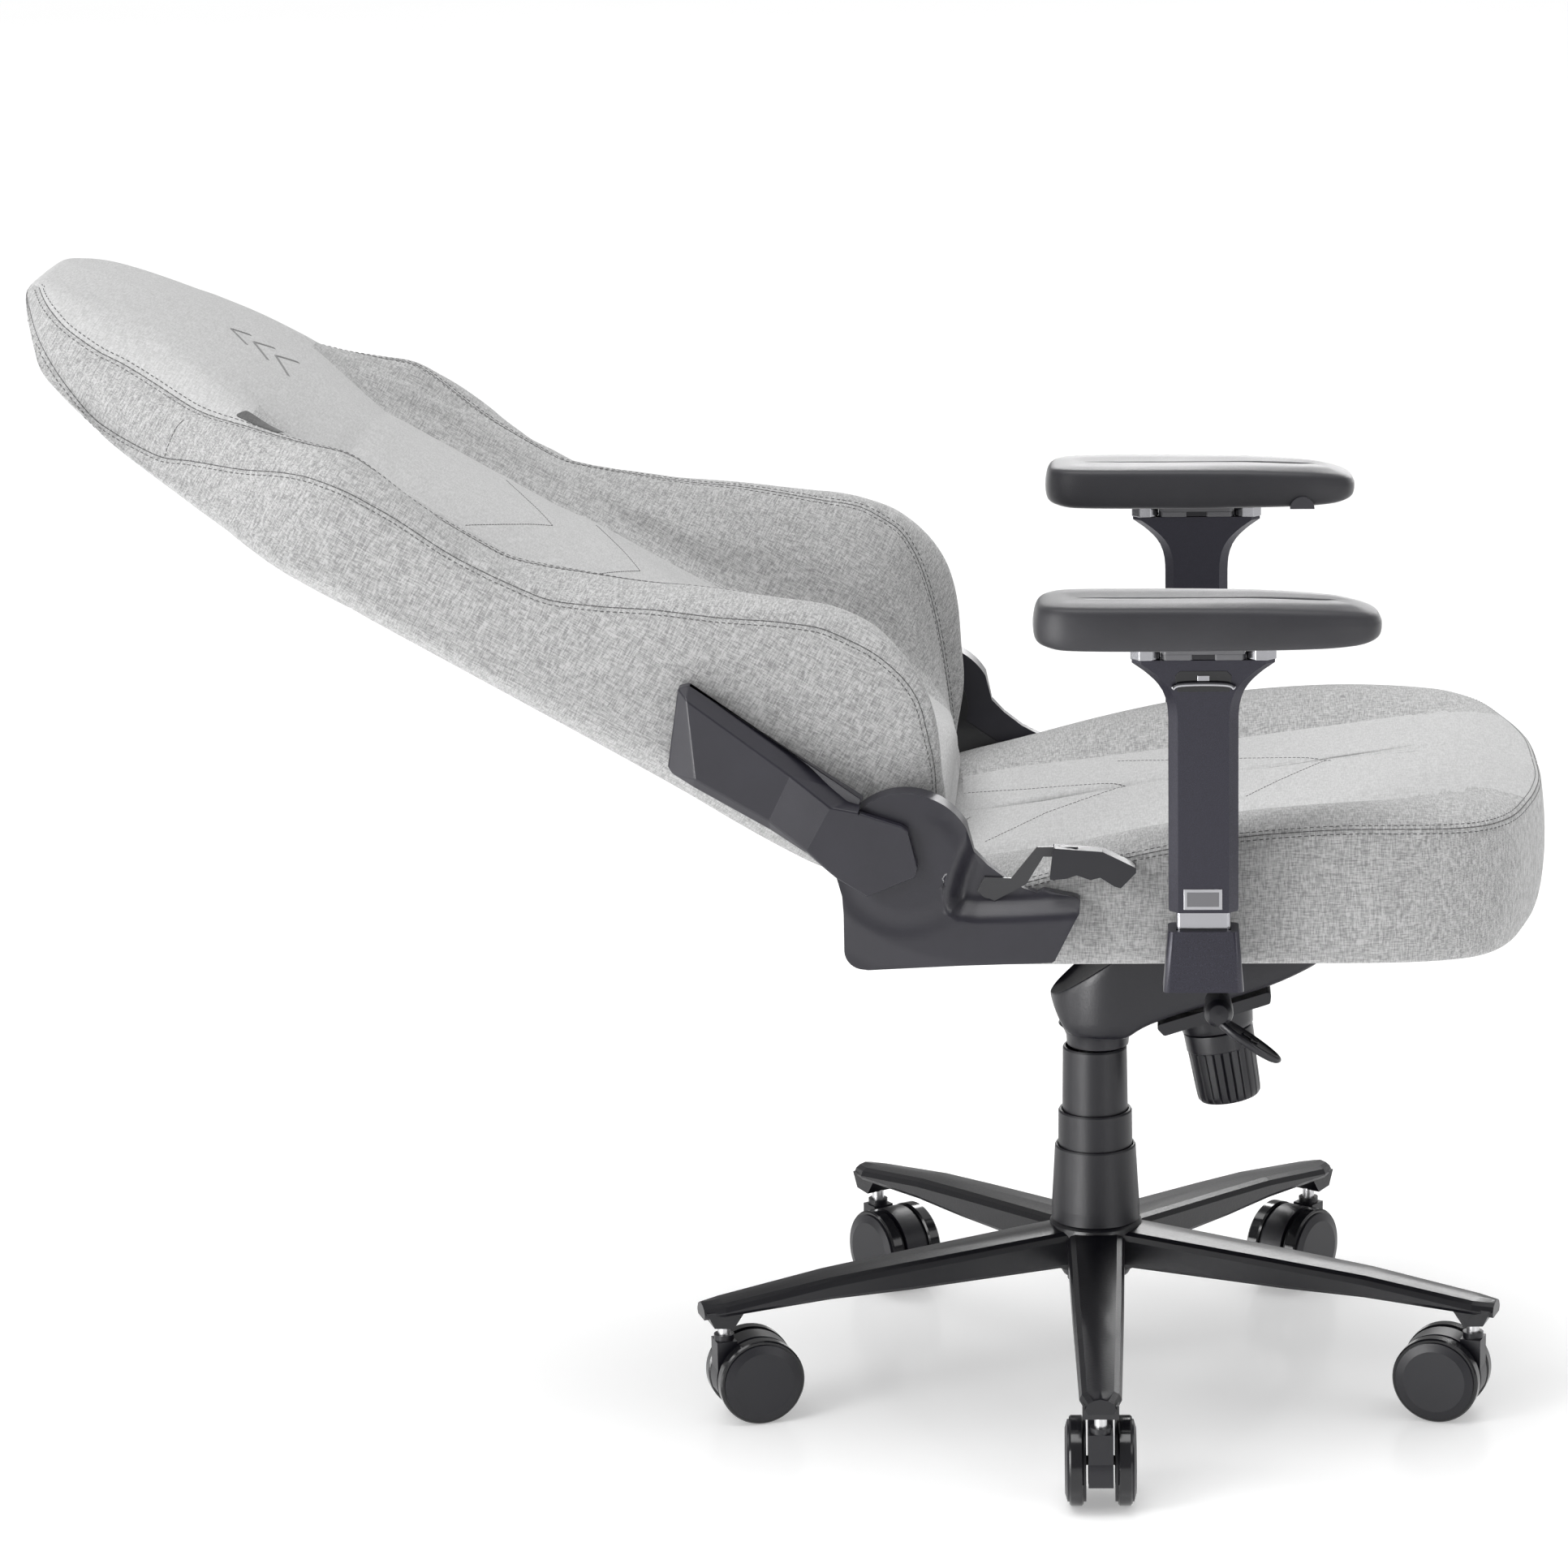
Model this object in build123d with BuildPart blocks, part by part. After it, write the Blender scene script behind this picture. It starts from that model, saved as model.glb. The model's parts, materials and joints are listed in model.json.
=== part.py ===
"""Reclining gaming chair: star base, gas lift, tilt mechanism, seat, backrest and 4-way armrests.

Frame: millimetres, +X chair forward, +Y the sitter's left, +Z up.
The origin is on the floor, on the gas lift's axis. The backrest stands reclined at rest.
"""
from build123d import *
from math import cos, radians, sin
import os

os.makedirs("parts", exist_ok=True)

# ---- driving dimensions -------------------------------------------------------------------------
ARMS = 5
ARM_START = -88.9          # direction of the first arm, degrees
STEM_CIRCLE = 338.0        # radius on which the caster stems stand
STEM_R = 5.5
STEM_FIT = 0.05            # running clearance on stems, pins and rods
WHEEL_R = 37.5             # 75 mm casters
TREAD = 3.5                # thickness of the tread ring
TRAIL = 27.0               # wheel axle behind the stem
CASTER_HALF = 29.5         # half the caster's overall width
COLLAR_TOP = 77.0          # top of the caster's swivel collar
HUB_TOP = 148.0
HUB_R = 40.0

STAND_R = 25.0             # 50 mm stand tube
LIFT_R = 14.0              # 28 mm pressure tube
ROD_R = 5.0
TUBE_TOP = 352.0

MECH_HALF = 48.0           # half width of the mechanism housing
TILT_PIVOT = (165.0, 405.0)
LEVER_XZ = (105.0, 372.0)
LEVER_PIN = (-45.0, 2.0)     # the lever's rocking pin: its Y and its radius

KNOB_LEAN = 9.5            # the knob's axis leans back at the top, degrees
KNOB_TOP = Location((106.5, 0, 320), (0, -KNOB_LEAN, 0))

PAN_Z = (446.0, 457.5)     # seat pan, lower and upper face
SEAT_HALF = 264.0
SIDE_IN = 270.0            # inner face of the hinge plates
PIVOT = (-149.5, 543.0)    # recline axis, X and Z
RECLINE = 29.6             # backrest's angle above the floor at rest, degrees
BOLSTER_IN = 150.0         # sewn line between the centre panel and each bolster
SEAT_COVER_OUT = 297.0     # outer face of the seat-side hinge cover
BACK_COVER_OUT = 306.0     # outer face of the backrest-side hinge cover

ARM_X = 91.0               # armrest column's centre
ARM_Y = 300.0
SOCKET_Z = (440.0, 490.0)
SLEEVE_Z = (506.0, 714.0)
PLATE_TOP = 719.9          # upper face of the swivel plate and of its pin
SWIVEL_PIN_R = 6.0
PAD_Z = (726.0, 762.0)
PAD_X = (-45.0, 233.0)
PAD_HALF = 47.5

UP = Vector(-cos(radians(RECLINE)), 0, sin(radians(RECLINE)))       # along the backrest, upwards
FRONT = Vector(sin(radians(RECLINE)), 0, cos(radians(RECLINE)))     # out of the backrest's front


# ---- small helpers ------------------------------------------------------------------------------
def side_plane(y):
    """Plane whose sketch axes are X and Z; extruding goes towards -Y."""
    return Plane(origin=(0, y, 0), x_dir=(1, 0, 0), z_dir=(0, -1, 0))


def back_plane(s):
    """Plane across the backrest at height s along it; its sketch axes are Y and the front normal."""
    origin = Vector(PIVOT[0], 0, PIVOT[1]) + UP * s
    return Plane(origin=origin, x_dir=(0, 1, 0), z_dir=UP * -1)


def along_back(s, n):
    """X and Z of a point s up the backrest and n in front of its reference line."""
    point = Vector(PIVOT[0], 0, PIVOT[1]) + UP * s + FRONT * n
    return (point.X, point.Z)


def polygon_side(y, depth, points, mode=Mode.ADD):
    """Extrude a polygon in X and Z from y towards -Y."""
    with BuildSketch(side_plane(y)) as outline:
        with BuildLine():
            Polyline(*points, close=True)
        make_face()
    extrude(outline.sketch, amount=depth, mode=mode)


def turned(points, mode=Mode.ADD):
    """Revolve a profile of (radius, height) points about the Z axis."""
    with BuildSketch(Plane.XZ) as profile:
        with BuildLine():
            Polyline(*points, close=True)
        make_face()
    revolve(profile.sketch, axis=Axis.Z, mode=mode)


def save(build, name):
    """Label a finished piece and write its STEP file."""
    build.part.label = name
    export_step(build.part, f"parts/{name}.step")


def save_pair(build, name):
    """Write a right-hand piece and its mirror image as two nodes."""
    with BuildPart() as left:
        mirror(build.part, about=Plane.XZ)
    save(build, f"{name}_right")
    save(left, f"{name}_left")


def both_sides(build, name):
    """Write a right-hand piece and its mirror image as two solids of one node."""
    with BuildPart() as pair:
        add(build.part)
        mirror(build.part, about=Plane.XZ)
    save(pair, name)


# ---- star base ----------------------------------------------------------------------------------
def arm_section(radius, top, bottom, half):
    """Cross-section of one arm: flat sides, a crowned top with rounded shoulders."""
    right = [(half - 2, bottom), (half, bottom + 3), (half, top - 8), (half - 2.2, top - 3.6),
             (half - 6.5, top - 1.2)]
    left = [(-y, z) for y, z in reversed(right)]
    with BuildSketch(Plane(origin=(radius, 0, 0), x_dir=(0, 1, 0), z_dir=(1, 0, 0))) as section:
        with BuildLine():
            Polyline(*right, (0, top), *left, close=True)
        make_face()
    return section.sketch


def make_star_base():
    """Five tapering arms; a wedge-shaped boss under each tip takes the caster stem."""
    with BuildPart() as arm:
        for station in ((0, 146, 112, 25), (40, 143, 111, 24.5), (177, 130, 105, 21.7),
                        (246, 123, 103.6, 20), (340, 109, 97, 17.5), (358, 107, 94, 12.5)):
            add(arm_section(*station))
        loft(ruled=True)
        polygon_side(15, 30, [(321, 102), (333, 85), (350, 87), (356.5, 101)])
    with BuildPart() as base:
        with PolarLocations(0, ARMS, start_angle=ARM_START):
            add(arm.part)
        turned([(0, 106), (HUB_R, 108), (HUB_R, HUB_TOP - 3), (HUB_R - 3, HUB_TOP), (0, HUB_TOP)])
        turned([(0, 98), (29, 98), (30, 100), (30, 110), (0, 110)])
        with Locations((0, 0, HUB_TOP)):
            Hole(radius=STAND_R, depth=HUB_TOP - 90)
        with PolarLocations(STEM_CIRCLE, ARMS, start_angle=ARM_START):
            with Locations((0, 0, 84)):
                Cylinder(radius=STEM_R, height=19, mode=Mode.SUBTRACT,
                         align=(Align.CENTER, Align.CENTER, Align.MIN))
    return base


def make_base():
    """Star base with a blind socket for each caster stem."""
    base = make_star_base()
    save(base, "star_base")


# ---- casters ------------------------------------------------------------------------------------
def caster_place(index):
    """Location of one caster: its stem on the circle, its trail pointing to the hub."""
    turn = ARM_START + 360 / ARMS * index
    at = (STEM_CIRCLE * cos(radians(turn)), STEM_CIRCLE * sin(radians(turn)), 0)
    return Location(at, (0, 0, turn))


def make_caster_stems():
    """Five grip-ring stems pressed up into the base; each housing turns on its stem."""
    with BuildPart() as stems:
        with PolarLocations(STEM_CIRCLE, ARMS, start_angle=ARM_START):
            with Locations((0, 0, 56)):
                Cylinder(radius=STEM_R, height=47, align=(Align.CENTER, Align.CENTER, Align.MIN))
    save(stems, "caster_stems")


def make_caster_housing():
    """Fork body between the wheels, with the swivel collar over the stem."""
    with BuildPart() as housing:
        with BuildSketch(side_plane(10.3)):
            with Locations((-TRAIL, WHEEL_R)):
                Circle(radius=WHEEL_R - 0.6)
            with BuildLine():
                Polyline((-9, 40), (8.8, 40), (8.8, 72), (-9, 72), close=True)
            make_face()
            with BuildLine():
                Polyline((-90, -1), (20, -1), (20, 26), (-2, 26), (-40, 12), (-90, 12), close=True)
            make_face(mode=Mode.SUBTRACT)
        extrude(amount=20.6)
        with Locations((0, 0, 60)):
            Cylinder(radius=8.8, height=COLLAR_TOP - 60,
                     align=(Align.CENTER, Align.CENTER, Align.MIN))
        with Locations((0, 0, 55)):
            Cylinder(radius=STEM_R + STEM_FIT, height=30, mode=Mode.SUBTRACT,
                     align=(Align.CENTER, Align.CENTER, Align.MIN))
        with Locations(Location((-TRAIL, 0, WHEEL_R), (90, 0, 0))):
            Cylinder(radius=4 + STEM_FIT, height=40, mode=Mode.SUBTRACT)
    return housing


def at_axle_pair(ring):
    """A ring about the Y axis, moved to the wheel axle, with its mirror image."""
    placed = ring.moved(Location((-TRAIL, 0, WHEEL_R)))
    add(placed)
    mirror(placed, about=Plane.XZ)


def make_wheelset():
    """Axle and two wheel discs with domed caps."""
    with BuildPart() as disc:
        with Locations((0, (12 + CASTER_HALF) / 2, 0)):
            Cylinder(radius=WHEEL_R - TREAD, height=CASTER_HALF - 12, rotation=(90, 0, 0))
        chamfer(disc.edges().sort_by(Axis.Y)[-1], length=2, length2=7)
        with Locations((0, 12, 0)):
            Cylinder(radius=4.2, height=12, rotation=(90, 0, 0), mode=Mode.SUBTRACT)
    with BuildPart() as wheels:
        with Locations(Location((-TRAIL, 0, WHEEL_R), (90, 0, 0))):
            Cylinder(radius=4, height=35.8)
        at_axle_pair(disc.part)
    return wheels


def make_treads():
    """Two tread rings on the wheel discs."""
    outer = WHEEL_R
    inner = WHEEL_R - TREAD
    with BuildPart() as ring:
        with BuildSketch(Plane.XY):
            with BuildLine():
                Polyline((inner, 14.2), (outer - 1.5, 14.2), (outer, 15.6), (outer, 24.5),
                         (outer - 1.2, 26), (inner, 26), close=True)
            make_face()
        revolve(axis=Axis.Y)
    with BuildPart() as treads:
        at_axle_pair(ring.part)
    return treads


def make_casters():
    make_caster_stems()
    shapes = {"caster_housing": make_caster_housing(), "caster_wheels": make_wheelset(),
              "caster_treads": make_treads()}
    for index in range(ARMS):
        for name, shape in shapes.items():
            with BuildPart() as placed:
                with Locations(caster_place(index)):
                    add(shape.part)
            save(placed, f"{name}_{index + 1}")


# ---- gas lift and its telescopic cover ----------------------------------------------------------
def make_lift():
    """Stand tube in the base; rod on a thrust bearing; pressure tube carrying the chair."""
    with BuildPart() as stand_tube:
        turned([(ROD_R + STEM_FIT, 92), (STAND_R, 92), (STAND_R, 236), (STAND_R - 2, 236),
                (STAND_R - 2, 96), (ROD_R + STEM_FIT, 96)])
    save(stand_tube, "lift_stand_tube")
    with BuildPart() as bush:
        turned([(LIFT_R + STEM_FIT, 182), (STAND_R - 2, 182), (STAND_R - 2, 236),
                (LIFT_R + STEM_FIT, 236)])
    save(bush, "lift_guide_bush")
    with BuildPart() as rod:
        turned([(0, 88), (9, 88), (9, 91.7), (ROD_R, 91.7), (ROD_R, 218), (11.9, 218),
                (11.9, 226), (0, 226)])
    save(rod, "lift_piston_rod")
    with BuildPart() as bearing:
        turned([(ROD_R, 96.2), (14, 96.2), (14, 103), (ROD_R, 103)])
    save(bearing, "lift_thrust_bearing")
    with BuildPart() as tube:
        turned([(ROD_R + STEM_FIT, 168), (LIFT_R, 168), (LIFT_R, TUBE_TOP), (6.1, TUBE_TOP),
                (6.1, TUBE_TOP - 8), (12, TUBE_TOP - 8), (12, 174), (ROD_R + STEM_FIT, 174)])
    save(tube, "lift_pressure_tube")
    with BuildPart() as button:
        turned([(0, TUBE_TOP - 12), (6, TUBE_TOP - 12), (6, TUBE_TOP + 11), (4.5, TUBE_TOP + 13),
                (0, TUBE_TOP + 13)])
    save(button, "lift_release_button")


def make_covers():
    """Three sleeves; each slides inside the one below."""
    with BuildPart() as bottom:
        turned([(36.6, 148.2), (38.4, 148.2), (38.2, 160), (35.2, 213.5), (34.4, 215),
                (33.2, 215), (33.2, 190), (34.8, 165)])
    save(bottom, "cover_bottom")
    with BuildPart() as middle:
        turned([(30.2, 188), (32.6, 188), (32.0, 245), (31.2, 246.5), (29.4, 246.5), (29.4, 240),
                (30.2, 236)])
    save(middle, "cover_middle")
    with BuildPart() as top:
        turned([(26.6, 216), (28.9, 216), (27.8, 302), (27.0, 303.6), (25.6, 303.6), (25.6, 298),
                (26.6, 296)])
    save(top, "cover_top")


# ---- tilt mechanism -----------------------------------------------------------------------------
def lever_pin_place():
    """Middle of the lever's pin, with Z along the pin."""
    return Location((LEVER_XZ[0], LEVER_PIN[0], LEVER_XZ[1]), (0, 90, 0))


def make_housing():
    """Cast tray on the gas lift, open at the top, with lugs for the front tilt axle."""
    outline = [(-38, 353), (-25, 318), (-12, 306), (31, 306), (48, 331), (154, 364), (194, 389),
               (198, 398), (184, 416), (146, 416), (128, 408), (70, 408), (21, 394), (-9, 376),
               (-29, 360)]
    tray = [(-16, 356), (118, 356), (150, 372), (150, 430), (-16, 430)]
    with BuildPart() as housing:
        polygon_side(MECH_HALF, 2 * MECH_HALF, outline)
        fillet(housing.edges().filter_by(Axis.Y), radius=3)
        polygon_side(MECH_HALF - 6, 2 * MECH_HALF - 12, tray, mode=Mode.SUBTRACT)
        turned([(0, 304), (31, 304), (31, 330), (0, 330)])
        turned([(0, 300), (LIFT_R, 300), (LIFT_R, TUBE_TOP), (0, TUBE_TOP)], mode=Mode.SUBTRACT)
        turned([(0, 340), (7, 340), (7, 400), (0, 400)], mode=Mode.SUBTRACT)
        with Locations(Location((TILT_PIVOT[0], 0, TILT_PIVOT[1]), (90, 0, 0))):
            Cylinder(radius=6 + STEM_FIT, height=150, mode=Mode.SUBTRACT)
        with Locations(Location((LEVER_XZ[0], -MECH_HALF, LEVER_XZ[1]), (90, 0, 0))):
            Cylinder(radius=6.8, height=20, mode=Mode.SUBTRACT)
        with Locations(lever_pin_place()):
            Cylinder(radius=LEVER_PIN[1], height=18)
        with Locations(KNOB_TOP):
            Cylinder(radius=6.1, height=160, mode=Mode.SUBTRACT)
    save(housing, "mechanism_housing")


def make_knob():
    """Ribbed tension knob, its bolt, the main spring and the cover around them."""
    ribs = 24
    with BuildPart() as knob:
        with BuildSketch(Plane(KNOB_TOP)):
            Circle(radius=30.4)
        extrude(amount=-64, taper=2.6)
        with BuildSketch(Plane(KNOB_TOP).offset(-16)):
            with PolarLocations(31.0, ribs):
                Circle(radius=1.9)
        extrude(amount=-60, taper=0, mode=Mode.SUBTRACT)
        with Locations(KNOB_TOP):
            Cylinder(radius=6, height=40, mode=Mode.SUBTRACT)
    save(knob, "tension_knob")
    with BuildPart() as bolt:
        with Locations(KNOB_TOP):
            Cylinder(radius=6, height=20, align=(Align.CENTER, Align.CENTER, Align.MAX))
            Cylinder(radius=6, height=82, align=(Align.CENTER, Align.CENTER, Align.MIN))
        with Locations(KNOB_TOP * Location((0, 0, 76))):
            Cylinder(radius=14, height=6, align=(Align.CENTER, Align.CENTER, Align.MIN))
    save(bolt, "tension_bolt")
    with BuildPart() as coil:
        with BuildLine() as path:
            Helix(pitch=7.5, height=30, radius=13.5)
        with BuildSketch(Plane(origin=path.line @ 0, z_dir=path.line % 0)):
            Circle(radius=2.2)
        sweep(is_frenet=True)
    with BuildPart() as spring:
        with Locations(KNOB_TOP * Location((0, 0, 42.5))):
            add(coil.part)
    save(spring, "tilt_spring")
    with BuildPart() as cover:
        polygon_side(38, 76, [(52, 331), (152, 362), (151, 351), (60, 322)])
        fillet(cover.edges().filter_by(Axis.Y), radius=3)
        with BuildSketch(Plane(KNOB_TOP).offset(1.2)):
            Circle(radius=31)
        extrude(amount=28, taper=-8)
        polygon_side(60, 120, [(40, 327.5), (154, 362.8), (194, 387.5), (194, 430), (40, 430)],
                     mode=Mode.SUBTRACT)
        with Locations(KNOB_TOP):
            Cylinder(radius=24, height=60, mode=Mode.SUBTRACT)
    save(cover, "spring_cover")


def make_lever():
    """Height lever: it rocks in the housing wall; its inner arm presses the release button."""
    x, z = LEVER_XZ
    with BuildPart() as lever:
        with Locations(Location((x, -100, z + 5), (90 - 5, 0, 0))):
            Cylinder(radius=5, height=150)
        with Locations(Location((x, -152, z + 9.6), (90 - 5, 0, 0))):
            Cylinder(radius=11, height=62)
        with Locations((x / 2 - 2, -32, TUBE_TOP + 17)):
            Box(x + 12, 12, 6)
        with Locations((0, -16, TUBE_TOP + 17)):
            Box(14, 44, 6)
        with BuildSketch(Plane(origin=(x + 26, -177, 358), x_dir=(0.82, 0, -0.57),
                               z_dir=(0.57, 0, 0.82))):
            SlotOverall(66, 30)
        extrude(amount=3.5, both=True)
        with Locations(Location((x + 8, -177, 374), (0, 35, 0))):
            Box(22, 18, 12)
        with Locations(lever_pin_place()):
            Cylinder(radius=LEVER_PIN[1] + STEM_FIT, height=24, mode=Mode.SUBTRACT)
    save(lever, "lift_lever")


def make_seat_plate():
    """Top plate that tilts on the front axle."""
    flange = [(20, 442), (190, 442), (186, 396), (152, 392), (100, 424), (20, 431)]
    with BuildPart() as plate:
        with Locations((70, 0, 444)):
            Box(270, 190, 4)
        polygon_side(54.5, 5, flange)
        polygon_side(-49.5, 5, flange)
        with Locations(Location((TILT_PIVOT[0], 0, TILT_PIVOT[1]), (90, 0, 0))):
            Cylinder(radius=6, height=150, mode=Mode.SUBTRACT)
    save(plate, "seat_plate")
    with BuildPart() as axle:
        with Locations(Location((TILT_PIVOT[0], 0, TILT_PIVOT[1]), (90, 0, 0))):
            Cylinder(radius=6, height=112)
    save(axle, "tilt_axle")


# ---- seat ---------------------------------------------------------------------------------------
def make_seat():
    """Plywood pan and the foam cushion on it."""
    with BuildPart() as pan:
        with Locations((95, 0, (PAN_Z[0] + PAN_Z[1]) / 2)):
            Box(490, 470, PAN_Z[1] - PAN_Z[0])
        fillet(pan.edges().filter_by(Axis.Z), radius=40)
    save(pan, "seat_pan")
    with BuildPart() as cushion:
        with BuildSketch(Plane.XY.offset(PAN_Z[1])):
            with BuildLine():
                edge = Spline((382, 0), (369, 120), (345, 208), (290, 253), (200, SEAT_HALF),
                              tangents=((0, 1), (-1, 0)))
                Polyline(edge @ 1, (-140, SEAT_HALF), (-172, 235), (-172, 0))
                mirror(about=Plane.XZ)
            make_face()
        extrude(amount=140)
        with BuildSketch(side_plane(300)):
            with BuildLine():
                Polyline((400, 550), (400, 457), (-180, 457), (-180, 480), (-165, 492),
                         (-75, 520), (60, 554), (150, 567), (240, 571), (330, 568), (400, 550))
            make_face()
        extrude(amount=600, mode=Mode.INTERSECT)
        fillet(cushion.faces().sort_by(Axis.Z)[0].edges(), radius=8)
    save(cushion, "seat_cushion")


def make_armrest_mounts():
    """Flat bars under the pan with tapered sockets at their ends, and the chrome posts in them."""
    with BuildPart() as socket:
        with BuildSketch(Plane.XY.offset(SOCKET_Z[0])):
            with Locations((ARM_X, -ARM_Y)):
                RectangleRounded(65, 37, 5)
        with BuildSketch(Plane.XY.offset(SOCKET_Z[1])):
            with Locations((ARM_X, -ARM_Y)):
                RectangleRounded(57, 31, 5)
        loft()
        with Locations((ARM_X, -ARM_Y, 470)):
            Box(44, 18, 48, mode=Mode.SUBTRACT)
        with Locations((ARM_X, -191, 442.1)):
            Box(43, 190, 7.6)
    both_sides(socket, "armrest_brackets")
    with BuildPart() as post:
        with Locations((ARM_X, -ARM_Y, 543)):
            Box(44, 18, 194)
        fillet(post.edges().filter_by(Axis.Z), radius=4)
    both_sides(post, "armrest_posts")


# ---- armrests -----------------------------------------------------------------------------------
def make_sleeve():
    """Octagonal sleeve that slides on the post and flares out under the plates."""
    bottom, top = SLEEVE_Z
    with BuildPart() as sleeve:
        with BuildSketch(side_plane(-ARM_Y + 16.5)):
            with BuildLine():
                Polyline((ARM_X, bottom), (ARM_X + 28, bottom), (ARM_X + 28, 668))
                Spline((ARM_X + 28, 668), (ARM_X + 31, 687), (ARM_X + 40, 700), (ARM_X + 57, top),
                       tangents=((0, 1), (1, 0.5)))
                Polyline((ARM_X + 57, top), (ARM_X, top))
                mirror(about=Plane.YZ.offset(ARM_X))
            make_face()
        extrude(amount=33)
        chamfer(sleeve.edges().filter_by(lambda e: e.length > 100 and abs(e.center().Z - 587) < 15),
                length=7.5)
        with Locations((ARM_X, -ARM_Y, (bottom + 700) / 2)):
            Box(44.8, 18.8, 700 - bottom, mode=Mode.SUBTRACT)
        with Locations((ARM_X, -ARM_Y - 14, 698)):
            Box(52, 8, 19, mode=Mode.SUBTRACT)
        with Locations((ARM_X, -ARM_Y, (top - 6 + PLATE_TOP) / 2)):
            Cylinder(radius=SWIVEL_PIN_R, height=PLATE_TOP - top + 6)
    save_pair(sleeve, "armrest_sleeve")
    with BuildPart() as trigger:
        with Locations((ARM_X, -ARM_Y - 14, 695)):
            Box(50, 6.4, 5)
        with Locations((ARM_X - 4, -ARM_Y - 15.4, 699)):
            Box(12, 4, 6)
    save_pair(trigger, "armrest_trigger")


def make_armrest_plates():
    """Swivel plate and cross-slide carriage between sleeve and pad."""
    with BuildPart() as plate:
        with BuildSketch(Plane.XY.offset(SLEEVE_Z[1] + 0.3)):
            with Locations((ARM_X, -ARM_Y)):
                Rectangle(116, 40)
            chamfer(vertices(), length=10)
            with Locations((ARM_X, -ARM_Y)):
                Circle(radius=SWIVEL_PIN_R + STEM_FIT, mode=Mode.SUBTRACT)
        extrude(amount=PLATE_TOP - SLEEVE_Z[1] - 0.3)
    save_pair(plate, "armrest_swivel_plate")
    with BuildPart() as carriage:
        with Locations((ARM_X, -ARM_Y, 722.9)):
            Box(66, 46, 5.4)
        fillet(carriage.edges().filter_by(Axis.Z), radius=4)
    save_pair(carriage, "armrest_carriage")


def make_pad():
    """Moulded pad with its half-moon release button in the inner edge."""
    x0, x1 = PAD_X
    inner = -ARM_Y + PAD_HALF
    outer = -ARM_Y - PAD_HALF
    button_x = 185.0
    with BuildPart() as pad:
        with BuildSketch(Plane.XY.offset(PAD_Z[0])):
            with BuildLine():
                Spline((x0, -ARM_Y), (x0 + 10, inner - 12), (x0 + 45, inner), (120, inner),
                       (205, inner - 12), (x1, -ARM_Y), (205, outer + 12), (120, outer),
                       (x0 + 45, outer), (x0 + 10, outer + 12), periodic=True)
            make_face()
        extrude(amount=PAD_Z[1] - PAD_Z[0])
        fillet(pad.faces().sort_by(Axis.Z)[-1].edges(), radius=9)
        fillet(pad.faces().sort_by(Axis.Z)[0].edges(), radius=6)
        with BuildSketch(side_plane(inner + 5)):
            with Locations((button_x, PAD_Z[0])):
                Circle(radius=11.3)
        extrude(amount=18, mode=Mode.SUBTRACT)
    save_pair(pad, "armrest_pad")
    with BuildPart() as button:
        with BuildSketch(side_plane(inner - 2.5)):
            with Locations((button_x, PAD_Z[0])):
                Circle(radius=10.9)
            with Locations((button_x, PAD_Z[0] - 10)):
                Rectangle(30, 20.4, mode=Mode.SUBTRACT)
        extrude(amount=7)
    save_pair(button, "armrest_button")


# ---- hinges -------------------------------------------------------------------------------------
def make_hinges():
    """Steel plates: the seat's carry the pivot pins, the backrest's turn on them."""
    with BuildPart() as seat_plate_right:
        with BuildSketch(side_plane(-SIDE_IN)):
            with Locations(PIVOT):
                Circle(radius=34)
            with BuildLine():
                Polyline((-172, 453.4), (-112, 453.4), (-104, 466), (-50, 470), (-60, 490),
                         (-118, 530), (-176, 530), close=True)
            make_face()
        extrude(amount=5)
        with Locations(Location((PIVOT[0], -SIDE_IN - 8, PIVOT[1]), (90, 0, 0))):
            Cylinder(radius=8, height=16)
        with Locations((-141, -(SIDE_IN + 5 + 235) / 2, 455.4)):
            Box(62, SIDE_IN + 5 - 235, 4)
    both_sides(seat_plate_right, "seat_hinge_plates")


def arm_outline():
    """Outline of the backrest-side cover, from the pivot end up to its outer tip."""
    return [(-181, 517), (-143, 531), (-138, 545), (-148, 575), (-180, 592), (-322, 688),
            (-331, 686), (-341, 622), (-337, 616), (-229, 553), (-205, 533)]


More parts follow.
